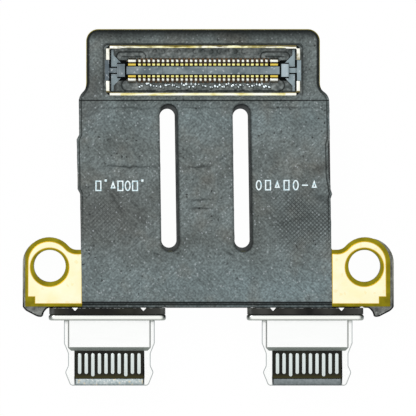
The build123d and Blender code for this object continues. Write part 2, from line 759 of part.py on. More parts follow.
def port_housing(midplate, contacts):
    """Moulded insulator: tongue, stepped root, rim behind the flange and rear body under the board."""
    half_x = INSULATOR_WIDTH / 2
    half_z = TONGUE_THICKNESS / 2
    tongue = block((-half_x, half_x), (INSULATOR_END_Y, FLANGE_BACK_Y), (-half_z, half_z))
    rim = prism_y(rim_outline(), FLANGE_BACK_Y, RIM_BACK_Y)
    low = SHELL_GROUND_CLEARANCE + SHELL_THICKNESS - TONGUE_Z
    rear = slab(body_outline(0.0, BODY_BACK_Y), low, BODY_TOP_Z - TONGUE_Z)
    return tongue + port_root() + rim + rear - midplate - contacts - contact_windows()


def port_collar():
    """Upper steel collar: a drawn tray over the root, bevelled at the front and round along its sides."""
    floor_z = TONGUE_THICKNESS / 2
    top_z = COLLAR_THICKNESS / 2
    half_x = COLLAR_WIDTH / 2
    front = FLANGE_FRONT_Y - COLLAR_LENGTH
    radius = COLLAR_EDGE_RADIUS
    cut = COLLAR_CORNER_CUT
    plan = make_face(
        Polyline(
            (-half_x + cut, front),
            (half_x - cut, front),
            (half_x, front + cut),
            (half_x, FLANGE_BACK_Y),
            (-half_x, FLANGE_BACK_Y),
            (-half_x, front + cut),
            close=True,
        )
    )
    across = make_face(
        [
            Line((-half_x, floor_z), (half_x, floor_z)),
            Line((half_x, floor_z), (half_x, top_z - radius)),
            CenterArc((half_x - radius, top_z - radius), radius, 0, 90),
            Line((half_x - radius, top_z), (-half_x + radius, top_z)),
            CenterArc((-half_x + radius, top_z - radius), radius, 90, 90),
            Line((-half_x, top_z - radius), (-half_x, floor_z)),
        ]
    )
    along = [
        (front, floor_z),
        (front, floor_z + COLLAR_LIP_HEIGHT),
        (front + COLLAR_BEVEL, top_z),
        (FLANGE_BACK_Y, top_z),
        (FLANGE_BACK_Y, floor_z),
    ]
    tray = slab(plan, floor_z, top_z) & prism_y(across, front, FLANGE_BACK_Y) & prism_x(along, COLLAR_WIDTH)
    return tray - port_root()


def port_flange():
    """Round-cornered steel plate that bears on the inside of the case, with a window for the tongue."""
    outline = Pos(FLANGE_SHIFT, 0) * RectangleRounded(FLANGE_WIDTH, FLANGE_HEIGHT, FLANGE_CORNER_RADIUS)
    gap = FLANGE_WINDOW_CLEARANCE
    window = clipped_rectangle(RAIL_ROOT_WIDTH + 2 * gap, COLLAR_THICKNESS + 2 * gap, FLANGE_WINDOW_CUT)
    return prism_y(outline - window, FLANGE_FRONT_Y, FLANGE_BACK_Y)


def port_rear_shell():
    """Folded steel shell under and around the rear body, with its edges against the board."""
    low = SHELL_GROUND_CLEARANCE - TONGUE_Z
    high = BOARD_Z - TONGUE_Z
    outer = slab(body_outline(SHELL_THICKNESS, SHELL_BACK_Y), low, high)
    inner = slab(body_outline(0.0, SHELL_BACK_Y - SHELL_THICKNESS), low + SHELL_THICKNESS, high)
    return outer - inner


# Bracket
def hook():
    """Right-hand front hook: a bevelled outer corner, a flat toe and a hollow curve back to the ports."""
    side_x = HOLE_X + BRACKET_EAR_OUTSET + HOLE_RADIUS + BRACKET_EAR_WALL
    side_y = RIM_BACK_Y + HOOK_SIDE_RISE
    inner_x = PORT_PITCH / 2 + FLANGE_WIDTH / 2 - RIM_INSET - FLANGE_SHIFT + HOOK_INNER_CLEARANCE
    toe_inner = inner_x + HOOK_HOLLOW
    toe_outer = toe_inner + HOOK_TOE
    toe_y = RIM_BACK_Y - HOOK_DROP
    edges = [
        Line((side_x, 0), (side_x, side_y)),
        Line((side_x, side_y), (side_x - HOOK_CORNER, RIM_BACK_Y - HOOK_CORNER)),
        Line((side_x - HOOK_CORNER, RIM_BACK_Y - HOOK_CORNER), (toe_outer, toe_y)),
        Line((toe_outer, toe_y), (toe_inner, toe_y)),
        RadiusArc((inner_x, RIM_BACK_Y), (toe_inner, toe_y), HOOK_INNER_RADIUS),
        Line((inner_x, RIM_BACK_Y), (inner_x, 0)),
        Line((inner_x, 0), (side_x, 0)),
    ]
    return make_face(edges)


def base_bracket():
    """Cast bracket: two screw ears joined by a frame with an open pocket for each port body."""
    ear_x = HOLE_X + BRACKET_EAR_OUTSET
    ear_radius = HOLE_RADIUS + BRACKET_EAR_WALL
    ear = lug(ear_x, BRACKET_EAR_RISE, ear_radius, BOARD_REAR_Y, NECK_RADIUS, 0, RIM_BACK_Y)
    outline = Pos(PORT_SHIFT, 0) * both_sides(ear + hook())
    pocket = body_outline(SHELL_THICKNESS + POCKET_CLEARANCE, SHELL_BACK_Y + POCKET_CLEARANCE)
    for side in (-1, 1):
        outline -= Pos(PORT_SHIFT + side * PORT_PITCH / 2) * pocket
    outline -= screw_holes()
    return slab(outline, 0, BOARD_Z)


def all_nodes():
    """Every sub-part by the name of its node."""
    right_pad = ground_pad()
    fence = board_connector_fence()
    nodes = {
        "flex_circuit": flex_circuit(),
        "port_board": port_board(),
        "main_shield_film": main_shield_film(),
        "head_shield_film": head_shield_film(),
        "underside_shield_film": underside_shield_film(),
        "head_stiffener": head_stiffener(),
        "left_ground_pad": mirror(right_pad, about=Plane.YZ),
        "right_ground_pad": right_pad,
        "board_connector_housing": board_connector_housing(),
        "board_connector_signal_contacts": board_connector_signal_contacts(),
        "board_connector_power_contacts": board_connector_power_contacts(),
        "board_connector_rear_fence": connector_place() * fence,
        "board_connector_front_fence": connector_place() * mirror(fence, about=Plane.XZ),
        "base_bracket": base_bracket(),
    }
    midplate = port_midplate()
    top_contacts = port_contacts(upper=True)
    bottom_contacts = port_contacts(upper=False)
    housing = port_housing(midplate, top_contacts.solids() + bottom_contacts.solids())
    collar = port_collar()
    port_pieces = {
        "housing": housing,
        "midplate": midplate,
        "top_contacts": top_contacts,
        "bottom_contacts": bottom_contacts,
        "upper_collar": collar,
        "lower_collar": mirror(collar, about=Plane.XY),
        "flange": port_flange(),
        "rear_shell": port_rear_shell(),
    }
    for name, side in (("left", -1), ("right", 1)):
        for piece, shape in port_pieces.items():
            nodes[f"{name}_port_{piece}"] = port_place(side) * shape
    return nodes


os.makedirs("parts", exist_ok=True)
for node, solid in all_nodes().items():
    export_step(solid, f"parts/{node}.step")
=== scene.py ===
# A laptop's twin charging-port board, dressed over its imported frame.
# Pieces are shaped in millimetres, where every tool has room to work, then brought to metres.
import math
import random

import bmesh
import bpy
from mathutils import Matrix, Vector, noise


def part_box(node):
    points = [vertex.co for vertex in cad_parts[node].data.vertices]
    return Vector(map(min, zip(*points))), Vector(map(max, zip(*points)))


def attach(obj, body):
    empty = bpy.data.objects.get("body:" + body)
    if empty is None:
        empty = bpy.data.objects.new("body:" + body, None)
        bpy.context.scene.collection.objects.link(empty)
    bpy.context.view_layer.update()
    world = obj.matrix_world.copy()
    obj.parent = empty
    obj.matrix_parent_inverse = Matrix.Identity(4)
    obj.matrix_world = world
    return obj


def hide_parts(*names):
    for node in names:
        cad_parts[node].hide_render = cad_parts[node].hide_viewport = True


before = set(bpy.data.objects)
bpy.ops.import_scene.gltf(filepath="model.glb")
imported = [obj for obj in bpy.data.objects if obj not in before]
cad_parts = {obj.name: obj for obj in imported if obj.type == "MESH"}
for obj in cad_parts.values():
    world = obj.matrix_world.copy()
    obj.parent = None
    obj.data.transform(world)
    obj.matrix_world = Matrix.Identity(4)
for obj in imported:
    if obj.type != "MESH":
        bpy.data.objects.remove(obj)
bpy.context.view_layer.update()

# Working units and tolerances, in millimetres
MM = 0.001
MERGE = 1e-4
FLAT_ANGLE = math.radians(1.0)
SMOOTH_ANGLE = 40
CHANCE = random.Random(11)

# Shield films: rings drawn in from the edge, and the fold shade at the edge and at each ring
RING_WIDTHS = (0.05, 0.06, 0.05, 0.045, 0.055)
TAIL_SHADES = (0.50, 0.12, 0.15, 0.50, 1.00, 0.00)
SLOT_SHADES = (1.00, 0.90, 0.38, 0.12, 0.03, 0.00)
HEAD_SHADES = (0.90, 1.00, 1.00, 0.90, 0.45, 0.00)
WINDOW_SHADES = (1.00, 0.60, 0.10, 0.00, 0.00, 0.00)
SLOT_DROPS = (0.100, 0.065, 0.020, 0.005, 0.000, 0.000)
HEAD_DROPS = (0.036, 0.032, 0.026, 0.016, 0.006, 0.000)
WINDOW_DROPS = (0.012, 0.002, 0.000, 0.000, 0.000, 0.000)
FILM_GRID = 0.16
FILM_STOCK = 0.035
RING_START_Y = 0.40
SLOT_CENTRES = (-2.865, 2.675)
SLOT_REACH = 1.00
SLOT_SPAN = (0.78, 12.49)
EAR_TOP_Y = 1.30
EAR_BLEND = 0.40
EAR_STEP = (9.0, 0.12)
WINDOW_REACH = (8.2, 2.5)
NEAR = 0.01
SEAM_DROP = 0.03
SEAM_CUTS = (0.04, 0.08)
SEAM_SHADES = (0.95, 0.30)
# Band along the tail film's front edge that takes full painted shade, and a second cut past it
FRONT_BAND = (0.10, 0.14)
HEAD_SHOULDER_Y = 13.60
EDGE_WANDER = 0.022

# Tail: its leaning centre line, and the half-width of the circuit inside the film
TAIL_BASE = (-0.07, 1.30)
TAIL_TOP = (-0.231, 12.45)
CIRCUIT_HALF = 9.27
CIRCUIT_WRAP = 0.14
TAIL_DROP = 0.10
# Front fold of the tail film: each step's Y and Z from the front edge, and the painted shade on it
FRONT_FOLD = (
    (-0.04, -0.015, 0.45),
    (-0.08, -0.055, 1.00),
    (-0.11, -0.105, 1.00),
    (-0.15, -0.120, 0.70),
    (-0.20, -0.120, 0.40),
    (-0.29, -0.120, 0.42),
    (-0.325, -0.130, 0.70),
    (-0.33, -0.170, 0.90),
)

# Creases pressed into the tail: both ends, width and height
CREASES = (
    ((-8.2, 11.95), (-3.8, 11.97), 0.07, -0.016),
    ((-2.2, 11.97), (1.8, 11.98), 0.07, -0.014),
    ((4.0, 11.98), (8.3, 12.00), 0.07, -0.014),
    ((-7.9, 7.56), (-3.9, 7.46), 0.08, -0.022),
    ((-1.8, 7.45), (0.4, 7.55), 0.09, -0.020),
    ((0.4, 7.55), (1.9, 8.75), 0.09, -0.016),
    ((-1.5, 4.92), (0.5, 5.00), 0.08, -0.018),
    ((-1.4, 4.32), (0.4, 4.38), 0.08, -0.022),
    ((-7.4, 5.60), (-6.2, 3.70), 0.10, -0.016),
    ((-6.0, 5.10), (-4.8, 4.10), 0.08, -0.014),
    ((4.6, 2.90), (7.9, 3.90), 0.12, -0.012),
    ((7.9, 7.10), (9.3, 7.60), 0.30, -0.013),
    ((8.0, 5.40), (9.3, 4.90), 0.30, -0.014),
    ((-4.1, 1.10), (-3.5, 0.75), 0.06, -0.024),
    ((-2.4, 0.80), (-2.0, 1.15), 0.06, -0.024),
    ((1.5, 1.05), (2.1, 0.75), 0.06, -0.024),
    ((3.3, 0.78), (3.8, 1.20), 0.06, -0.024),
    ((-8.6, 10.2), (-6.8, 10.6), 0.10, 0.012),
    ((5.6, 10.1), (8.9, 10.7), 0.10, 0.010),
)
CREASE_ROWS = (11.97, 7.50, 4.95, 4.35, 1.00, 0.85)
CREASE_SPREAD = (-0.11, -0.05, 0.0, 0.05, 0.11)
# How strongly each millimetre of crease depth turns into painted shade
CREASE_DARKNESS = 34
SLOT_SIDE_SHARE = (0.30, 0.85)
SWELL_HEIGHT = 0.006
SWELL_LENGTH = 2.2

# Ground pads, with painted shade in their edge rings
PAD_RING_WIDTHS = (0.05, 0.04)
PAD_DROPS = (0.022, 0.004, 0.000)
PAD_SHADES = (1.0, 1.0, 0.0)
LOWER_FILM_REACH = 0.16
PAD_STOCK = 0.02

# Places of the films' markings, painted highlight and painted shade: rows along Y and sides along X, most
# with the soft width last
COOL_FRONT = (-3.4, 0.0, 1.8)
COOL_BACK = (10.2, 12.1, 1.0)
LEFT_DARKER_ROWS = (2.0, 6.0, 1.6)
SHOULDER_ROWS = (11.0, 14.2, 1.0)
SHOULDER_SIDE = (-7.2, -8.6)
STRIP_ROWS = (12.60, 13.10, 0.05)
STRIP_WIDTH = (-7.5, 7.0, 0.6)
LEFT_SIDE = (-3.0, -6.5)
RIGHT_SIDE = (4.0, 6.0)
HATCH_ROWS = (1.6, 5.8, 1.2)
HATCH_PITCH = 0.22
RIB_HEIGHT = 0.010
# Rows over which painted shade darkens the head film towards its rolled top edge
HEAD_ROLL = (17.0, 17.75)

# Port pieces
FLANGE_ROUND = 0.18
COLLAR_ROUND = 0.13
RAIL_ROUND = 0.10
FLAT_SHADING = 14
OLIVE_NOSE = (-8.15, -8.45)
RIM_LEVEL = 2.6
RIM_ROUND = 0.05
RIM_DEPTH = 0.75
RIM_GAP = 0.03
RIM_LENGTH = 0.50
APRON = (0.28, 0.32, 0.10, 0.75)
NOSE_LENGTH = 0.57
CONTACT_COUNT = 10
CONTACT_PITCH = 0.50
CONTACT_WIDTH = 0.26
CONTACT_LENGTH = 1.58
CONTACT_EXTRA = 0.18
LONG_CONTACTS = (2, 7)
CONTACT_START = 2.49
CONTACT_STAND = 0.012
CONTACT_SINK = 0.03
RAIL_MARGIN = 0.35
CONTACT_ROUND = 0.02
TAB_SPREAD = 2.59
TAB_WIDTH = 0.46
TAB_REACH = 0.24
TAB_STOCK = 0.05
TAB_POINT = 0.12
TAB_ROUND = 0.012

# Bracket: width to the next ring, the rim's share of painted shade on the hooks and of painted light
# elsewhere, and drop of its upper rim
BRACKET_RIM = ((0.05, 1.0, 0.06), (0.05, 1.0, 0.02), (0.03, 0.8, 0.005), (0.0, 0.0, 0.0))
HOOK_ROWS = (-1.6, -3.0)
HOOK_START = -3.1
HOOK_ROUND = 0.16
SHORT_EDGE = 0.06

# Rounds that break routed and moulded edges
ROUTED_ROUND = 0.02
FILM_ROUND = 0.008
BODY_ROUND = 0.055
FORMED_ROUND = 0.022
FENCE_ROUND = 0.028
RESIN_ROUND = 0.015
APRON_ROUND = 0.01

# Board connector
CONNECTOR = (-0.305, 14.81)
LAND_STOCK = 0.03
LAND_GRID = 0.045
LAND_MARGIN = 0.26
# Painted shadow close round the fence, and painted shade along the fence's inner wall
LAND_OUTLINE = (7.515, 1.965, 0.30)
LAND_LINE = (0.055, 1.00, 0.65, 0.15)
LAND_INNER_Y = 1.575
LAND_INNER_LINE = 0.05
LAND_EDGE = 1.88
LAND_OPENING = (6.3, 0.62)
LAND_INSIDE = 7.0
DIMPLE_SHARE = 0.75
TRACK_CENTRE = (5.45, 1.05)
TRACK_LENGTH = 2.20
TRACK_WIDTH = 0.70
TRACK_RIDGE = 0.02
TRACK_LINE = 0.055
TRACK_INNER_LINE = 0.050
LOWER_OUTLINE = (6.17, 1.12, 0.42)
DIMPLE_ROW = (1.42, -1.30)
DIMPLE_PITCH = 0.61
DIMPLE_RADIUS = 0.15
DIMPLE_LINE = 0.045
DIMPLE_END = 4.3
TIP_REACH = (0.36, 0.52)
TIP_LIFT = 0.555
TIP_STOCK = 0.02
BEAD_ROW = 0.98
BEAD_SPREAD = 0.30
BEAD_SIZE = (0.090, 0.100, 0.055)
SIGNALS_PER_ROW = 28
HALF_ROW = (SIGNALS_PER_ROW - 1) / 2
SIGNAL_PITCH = 0.356
SIGNAL_WIDTH = 0.22
SIGNAL_SLIMMING = 0.80
POWER_PLACES = (-5.381, 5.381)
POWER_WIDTH = 0.59
RESIN_INNER = 0.36
RESIN_OUTER = 0.93
RESIN_STOCK = 0.05
RESIN_LIFT = 0.055
RESIN_MARGIN = 0.05
FENCE_END_X = 6.20
# Where painted shade blacks out the fence's corners
FENCE_CORNER = (7.06, 1.66)
FENCE_NARROWING = 0.05
FENCE_LIP_Y = 1.78
FENCE_BLEND = 0.12
FENCE_LIP_DEPTH = 0.2
# Where painted shade lies along the fence's long edges, and how ragged it is
FENCE_REAR = 1.88
FENCE_RAG = 0.11
FENCE_FRONT = (-1.72, -1.55, 0.01)
LEAN_SIDE = (4.0, 6.6)
BLOCK_END = (5.98, 6.42, 0.02)
WALL_END = -7.05
LINE_PITCH = 1.68
LINE_WIDTH = 0.03
POWER_START = 5.0
CONTACT_SHOULDER = (0.50, 0.60)
CONTACT_GROOVE = (0.51, 0.64, 0.02)
CONTACT_FOOT = (0.76, 0.79, 0.02)
FLOOR_LEVEL = 3.20
WALL_LEVEL = 3.285
GUIDE_LEVEL = 3.33

# Printed marks on the tail: plain outlined shapes by their number of corners, dots and a dash
MARK_STROKE = 0.095
MARK_STOCK = 0.006
MARK_SIZE = (0.46, 0.80)
MARK_DOT = 0.17
LEFT_MARKS = ((-8.23, 6.07), 0.555, (4, 1, 3, 4, 16, 4, 1))
RIGHT_MARKS = ((3.92, 6.12), 0.70, (16, 4, 3, 4, 16, 2, 3))

# View: straight down, with the photograph's frame
VIEW_CENTRE = (0.072, 4.39)
VIEW_WIDTH = 31.515
VIEW_HEIGHT = 1000.0
TOP_PLANE = 2.9
SENSOR = 36.0

# Light, floor and sky, in metres and watts
FLOOR_SIZE = 2.0
FLOOR_PAINT = 0.96
FLOOR_GLOW = 0.985
SKY = ((0.0, 0.42), (0.30, 0.45), (0.62, 0.95), (1.0, 1.0))
LAMP_PLACE = (-0.20, 0.26, 0.26)
LAMP_SIZE = 0.22
LAMP_POWER = 0.55


# Working on a piece
def take(piece):
    """Makes a piece the only one selected."""
    bpy.ops.object.select_all(action="DESELECT")
    piece.select_set(True)
    bpy.context.view_layer.objects.active = piece


def edit(piece):
    """Opens a piece for shaping, with nothing on it selected."""
    take(piece)
    bpy.ops.object.mode_set(mode="EDIT")
    bpy.ops.mesh.select_all(action="DESELECT")


def leave():
    """Closes the piece being shaped."""
    bpy.ops.object.mode_set(mode="OBJECT")


def opened():
    """The mesh of the piece being shaped."""
    return bmesh.from_edit_mesh(bpy.context.edit_object.data)


def update():
    """Shows the changes made to the open mesh."""
    bmesh.update_edit_mesh(bpy.context.edit_object.data)


def pick(kind, test):
    """Selects only the faces, edges or corners of the open piece that pass a test."""
    bpy.ops.mesh.select_mode(type=kind)
    bpy.ops.mesh.select_all(action="DESELECT")
    mesh = opened()
    mesh.normal_update()
    for element in {"VERT": mesh.verts, "EDGE": mesh.edges, "FACE": mesh.faces}[kind]:
        if test(element):
            element.select_set(True)
    mesh.select_flush_mode()
    update()


def copy_of(node, name):
    """A millimetre-sized copy of a CAD node, merged, with each flat face whole again."""
    copy = bpy.data.objects.new(name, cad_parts[node].data.copy())
    bpy.context.scene.collection.objects.link(copy)
    copy.data.name = name
    copy.data.materials.clear()
    copy.data.transform(Matrix.Scale(1 / MM, 4))
    take(copy)
    bpy.ops.mesh.customdata_custom_splitnormals_clear()
    edit(copy)
    bpy.ops.mesh.select_all(action="SELECT")
    bpy.ops.mesh.remove_doubles(threshold=MERGE)
    bpy.ops.mesh.dissolve_limited(angle_limit=FLAT_ANGLE)
    leave()
    return copy


def block(name, low, high):
    """A block between two corners, ready to be shaped."""
    bpy.ops.object.select_all(action="DESELECT")
    size = Vector(high) - Vector(low)
    middle = (Vector(high) + Vector(low)) / 2
    bpy.ops.mesh.primitive_cube_add(size=1, location=middle, scale=size)
    bpy.ops.object.transform_apply(location=True, rotation=False, scale=True)
    piece = bpy.context.object
    piece.name = name
    piece.data.name = name
    return piece


def rounded(piece, width, segments=2, above=35, held=True):
    """Rounds each edge sharper than an angle; held keeps the round small beside short edges."""
    take(piece)
    edge = piece.modifiers.new("edge", "BEVEL")
    edge.width = width
    edge.segments = segments
    edge.limit_method = "ANGLE"
    edge.angle_limit = math.radians(above)
    edge.use_clamp_overlap = held
    bpy.ops.object.modifier_apply(modifier=edge.name)
    return piece


def thickened(sheet, stock):
    """Gives an open sheet its thickness, downwards from its upper face."""
    take(sheet)
    wall = sheet.modifiers.new("wall", "SOLIDIFY")
    wall.thickness = stock
    wall.offset = -1.0
    bpy.ops.object.modifier_apply(modifier=wall.name)
    return sheet


def joined(pieces, name):
    """Several finished pieces as one."""
    bpy.ops.object.select_all(action="DESELECT")
    for piece in pieces:
        piece.select_set(True)
    bpy.context.view_layer.objects.active = pieces[0]
    bpy.ops.object.join()
    whole = bpy.context.object
    whole.name = name
    whole.data.name = name
    return whole


def settle(piece, material, slot, *stands_for, angle=SMOOTH_ANGLE):
    """Brings a finished piece to metres, dresses it and fixes it to the board."""
    piece.data.transform(Matrix.Scale(MM, 4))
    if material is not None:
        piece.data.materials.clear()
        piece.data.materials.append(material)
    take(piece)
    bpy.ops.object.shade_smooth_by_angle(angle=math.radians(angle))
    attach(piece, "root")
    if stands_for:
        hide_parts(*stands_for)
    return piece


def box_of(node):
    """Lowest and highest corners of a CAD node, in millimetres."""
    low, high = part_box(node)
    return low / MM, high / MM


def ease(value, start, end):
    """Rises smoothly from 0 at start to 1 at end."""
    share = min(max((value - start) / (end - start), 0.0), 1.0)
    return share * share * (3 - 2 * share)


# Shader building
def add(tree, kind, inputs=None, **settings):
    """Adds a shader node, sets its options, and fills its sockets with values or links."""
    made = tree.nodes.new(kind)
    for name, value in settings.items():
        setattr(made, name, value)
    for name, value in (inputs or {}).items():
        if isinstance(value, bpy.types.NodeSocket):
            tree.links.new(value, made.inputs[name])
        else:
            made.inputs[name].default_value = value
    return made


def ramp(tree, factor, *stops):
    """A colour ramp between (place, colour) stops."""
    made = add(tree, "ShaderNodeValToRGB", {"Fac": factor})
    elements = made.color_ramp.elements
    while len(elements) < len(stops):
        elements.new(0.5)
    for element, (place, colour) in zip(elements, stops):
        element.position = place
        element.color = (*colour, 1.0)
    return made.outputs["Color"]


def mix(tree, factor, first, second, mode="MIX"):
    """Mixes two colours."""
    made = tree.nodes.new("ShaderNodeMix")
    made.data_type = "RGBA"
    made.blend_type = mode
    for socket, value in ((made.inputs[0], factor), (made.inputs[6], first), (made.inputs[7], second)):
        if isinstance(value, bpy.types.NodeSocket):
            tree.links.new(value, socket)
        elif isinstance(value, tuple):
            socket.default_value = (*value, 1.0)
        else:
            socket.default_value = value
    return made.outputs[2]


def sums(tree, operation, first, second, clamp=False):
    """One step of arithmetic between values or sockets."""
    made = tree.nodes.new("ShaderNodeMath")
    made.operation = operation
    made.use_clamp = clamp
    for socket, value in zip(made.inputs, (first, second)):
        if isinstance(value, bpy.types.NodeSocket):
            tree.links.new(value, socket)
        else:
            socket.default_value = value
    return made.outputs[0]


def grey(value):
    """A neutral colour."""
    return (value, value, value)


def fade(tree, value, start, end):
    """Rises from 0 where the value is at start to 1 where it is at end."""
    limits = {"Value": value, "From Min": start, "From Max": end}
    return add(tree, "ShaderNodeMapRange", limits).outputs["Result"]


def between(tree, share, low, high):
    """A number that goes from low to high with a share of 0 to 1."""
    limits = {"Value": share, "To Min": low, "To Max": high}
    return add(tree, "ShaderNodeMapRange", limits).outputs["Result"]


def product(tree, first, second, clamp=False):
    """Two masks or values multiplied."""
    return sums(tree, "MULTIPLY", first, second, clamp)


def blend(tree, base, mask, share, colour):
    """Lays a colour over the base where a mask says, at a share of its strength."""
    return mix(tree, product(tree, mask, share), base, colour)


def new_group(name, inputs, outputs):
    """An empty shader group with named float, vector or colour sockets."""
    group = bpy.data.node_groups.new(name, "ShaderNodeTree")
    for socket, kind in inputs:
        group.interface.new_socket(name=socket, in_out="INPUT", socket_type=f"NodeSocket{kind}")
    for socket, kind in outputs:
        group.interface.new_socket(name=socket, in_out="OUTPUT", socket_type=f"NodeSocket{kind}")
    return group, group.nodes.new("NodeGroupInput").outputs, group.nodes.new("NodeGroupOutput").inputs


def build_grain():
    """Fine surface grain: a value for colour and a matching bump, at a scale in features per metre."""
    group, given, out = new_group(
        "fine_grain",
        (("Vector", "Vector"), ("Scale", "Float"), ("Depth", "Float")),
        (("Value", "Float"), ("Normal", "Vector")),
    )
    source = {"Vector": given["Vector"], "Scale": given["Scale"], "Detail": 3.0}
    fine = add(group, "ShaderNodeTexNoise", source)
    bump = add(group, "ShaderNodeBump", {"Height": fine.outputs["Fac"], "Distance": given["Depth"]})
    group.links.new(fine.outputs["Fac"], out["Value"])
    group.links.new(bump.outputs["Normal"], out["Normal"])
    return group


def build_specks():
    """Scattered specks: a mask that is 1 on the few cells whose random value passes a threshold."""
    group, given, out = new_group(
        "scattered_specks",
        (("Vector", "Vector"), ("Scale", "Float"), ("Size", "Float"), ("Rarity", "Float")),
        (("Mask", "Float"),),
    )
    source = {"Vector": given["Vector"], "Scale": product(group, given["Scale"], 1.6), "Detail": 2.0}
    ragged = add(group, "ShaderNodeTexNoise", source).outputs["Color"]
    push = sums(group, "DIVIDE", 0.9, given["Scale"])
    moved = add(group, "ShaderNodeVectorMath", {0: ragged, "Scale": push}, operation="SCALE")
    place = add(group, "ShaderNodeVectorMath", {0: given["Vector"], 1: moved.outputs[0]}, operation="ADD")
    cells = add(group, "ShaderNodeTexVoronoi", {"Vector": place.outputs[0], "Scale": given["Scale"]})
    near = sums(group, "LESS_THAN", cells.outputs["Distance"], given["Size"])
    parts = add(group, "ShaderNodeSeparateColor", {"Color": cells.outputs["Color"]})
    rare = sums(group, "GREATER_THAN", parts.outputs[0], given["Rarity"])
    group.links.new(product(group, near, rare), out["Mask"])
    return group


def axes(tree, vector):
    """A place or direction split along X, Y and Z."""
    return add(tree, "ShaderNodeSeparateXYZ", {"Vector": vector}).outputs


def turned_by(tree, place, degrees):
    """A pattern's place, turned about the vertical."""
    turn = {"Vector": place, "Angle": math.radians(degrees)}
    return add(tree, "ShaderNodeVectorRotate", turn).outputs["Vector"]


def drawn_out(tree, place, share):
    """A pattern's place, drawn out along X: the smaller the share, the longer its streaks."""
    return add(tree, "ShaderNodeMapping", {"Vector": place, "Scale": (share, 1.0, 1.0)}).outputs["Vector"]


def build_hatch():
    """Crossed 45-degree ribs of the copper mesh that shows through the film: 1 on a rib, 0 between."""
    group, given, out = new_group(
        "copper_hatch",
        (("Vector", "Vector"), ("Pitch", "Float")),
        (("Height", "Float"),),
    )
    ribs = []
    for turn in (45, -45):
        split = axes(group, turned_by(group, given["Vector"], turn))
        phase = sums(group, "DIVIDE", split["X"], given["Pitch"])
        wave = sums(group, "SINE", product(group, phase, 2 * math.pi), 0.0)
        line = fade(group, wave, 0.25, 0.85)
        ribs.append(line)
    group.links.new(sums(group, "MAXIMUM", ribs[0], ribs[1]), out["Height"])
    return group


def build_scratches():
    """Fine scratches at 45 degrees both ways, in patches: 1 on average, less and more along each."""
    group, given, out = new_group(
        "rubbed_scratches",
        (("Vector", "Vector"), ("Scale", "Float"), ("Strength", "Float")),
        (("Value", "Float"),),
    )
    ways = []
    for turn in (45, -45):
        drawn = drawn_out(group, turned_by(group, given["Vector"], turn), 0.16)
        lines = {"Vector": drawn, "Scale": given["Scale"], "Detail": 2.0}
        ways.append(add(group, "ShaderNodeTexNoise", lines).outputs["Fac"])
    patches = add(group, "ShaderNodeTexNoise", {"Vector": given["Vector"], "Scale": 380.0, "Detail": 1.0})
    which = fade(group, patches.outputs["Fac"], 0.44, 0.56)
    both = add(group, "ShaderNodeMix", {0: which, 2: ways[0], 3: ways[1]})
    swing = product(group, sums(group, "SUBTRACT", both.outputs[0], 0.5), given["Strength"])
    group.links.new(sums(group, "ADD", swing, 1.0), out["Value"])
    return group


GRAIN = build_grain()
SPECKS = build_specks()
HATCH = build_hatch()
SCRATCHES = build_scratches()


def new_material(name, **fixed):
    """A material with its shader; fixed values go on the shader's own sockets."""
    material = bpy.data.materials.new(name)
    material.use_nodes = True
    tree = material.node_tree
    shader = tree.nodes["Principled BSDF"]
    for socket, value in fixed.items():
        shader.inputs[socket.replace("_", " ")].default_value = value
    place = add(tree, "ShaderNodeTexCoord").outputs["Object"]
    return material, tree, shader, place


def use_group(tree, group, **inputs):
    """Places a shared effect in a material."""
    made = tree.nodes.new("ShaderNodeGroup")
    made.node_tree = group
    for name, value in inputs.items():
        if isinstance(value, bpy.types.NodeSocket):
            tree.links.new(value, made.inputs[name])
        else:
            made.inputs[name].default_value = value
    return made.outputs


def add_grain(tree, shader, place, scale, depth):
    """Roughens a finish with fine grain, at features per metre and a depth in metres."""
    grain = use_group(tree, GRAIN, Vector=place, Scale=scale, Depth=depth)
    tree.links.new(grain["Normal"], shader.inputs["Normal"])
    return grain


def specked(tree, place, scale, size, rarity):
    """Mask of scattered specks: the higher the rarity, the fewer there are."""
    return use_group(tree, SPECKS, Vector=place, Scale=scale, Size=size, Rarity=rarity)["Mask"]


def paint(tree, shader, colour):
    """Gives a finish its colour."""
    tree.links.new(colour, shader.inputs["Base Color"])


def shade_mask(tree):
    """The painted shade stored on the corners of a film, and of the pads, land and bracket; on the
    bracket's rim it also marks painted light.
    """
    return add(tree, "ShaderNodeAttribute", attribute_name="shade").outputs["Fac"]


def soft_noise(tree, place, scale, detail=2.0, low=0.35, high=0.65):
    """Broad noise, spread out to the full range between two levels."""
    made = add(tree, "ShaderNodeTexNoise", {"Vector": place, "Scale": scale, "Detail": detail})
    return fade(tree, made.outputs["Fac"], low, high)


def band(tree, value, low, high, soft):
    """1 between two places, fading over a soft width on each side."""
    rise = fade(tree, value, low - soft, low + soft)
    fall = fade(tree, value, high + soft, high - soft)
    return product(tree, rise, fall)


def rising(tree, place, span):
    """Rises from 0 to 1 across a span of the board, given in millimetres."""
    return fade(tree, place, span[0] * MM, span[1] * MM)


def within(tree, place, span):
    """1 within a span of the board, given with its soft width in millimetres."""
    low, high, soft = span
    return band(tree, place, low * MM, high * MM, soft * MM)


def beyond(tree, place, limit):
    """1 where a place on the board is past a limit in millimetres."""
    return sums(tree, "GREATER_THAN", place, limit * MM)


def short_of(tree, place, limit):
    """1 where a place on the board is short of a limit in millimetres."""
    return sums(tree, "LESS_THAN", place, limit * MM)


def from_connector(tree, split, axis):
    """How far a place lies behind or beside the board connector's centre, with its sign and without."""
    offset = sums(tree, "SUBTRACT", split[axis], CONNECTOR["XY".index(axis)] * MM)
    return offset, sums(tree, "ABSOLUTE", offset, 0.0)


def matt_where(tree, shader, dark, glossy, matt):
    """Takes the mirror gloss down from one level to another where a finish is dark."""
    tree.links.new(between(tree, dark, glossy, matt), shader.inputs["Specular IOR Level"])


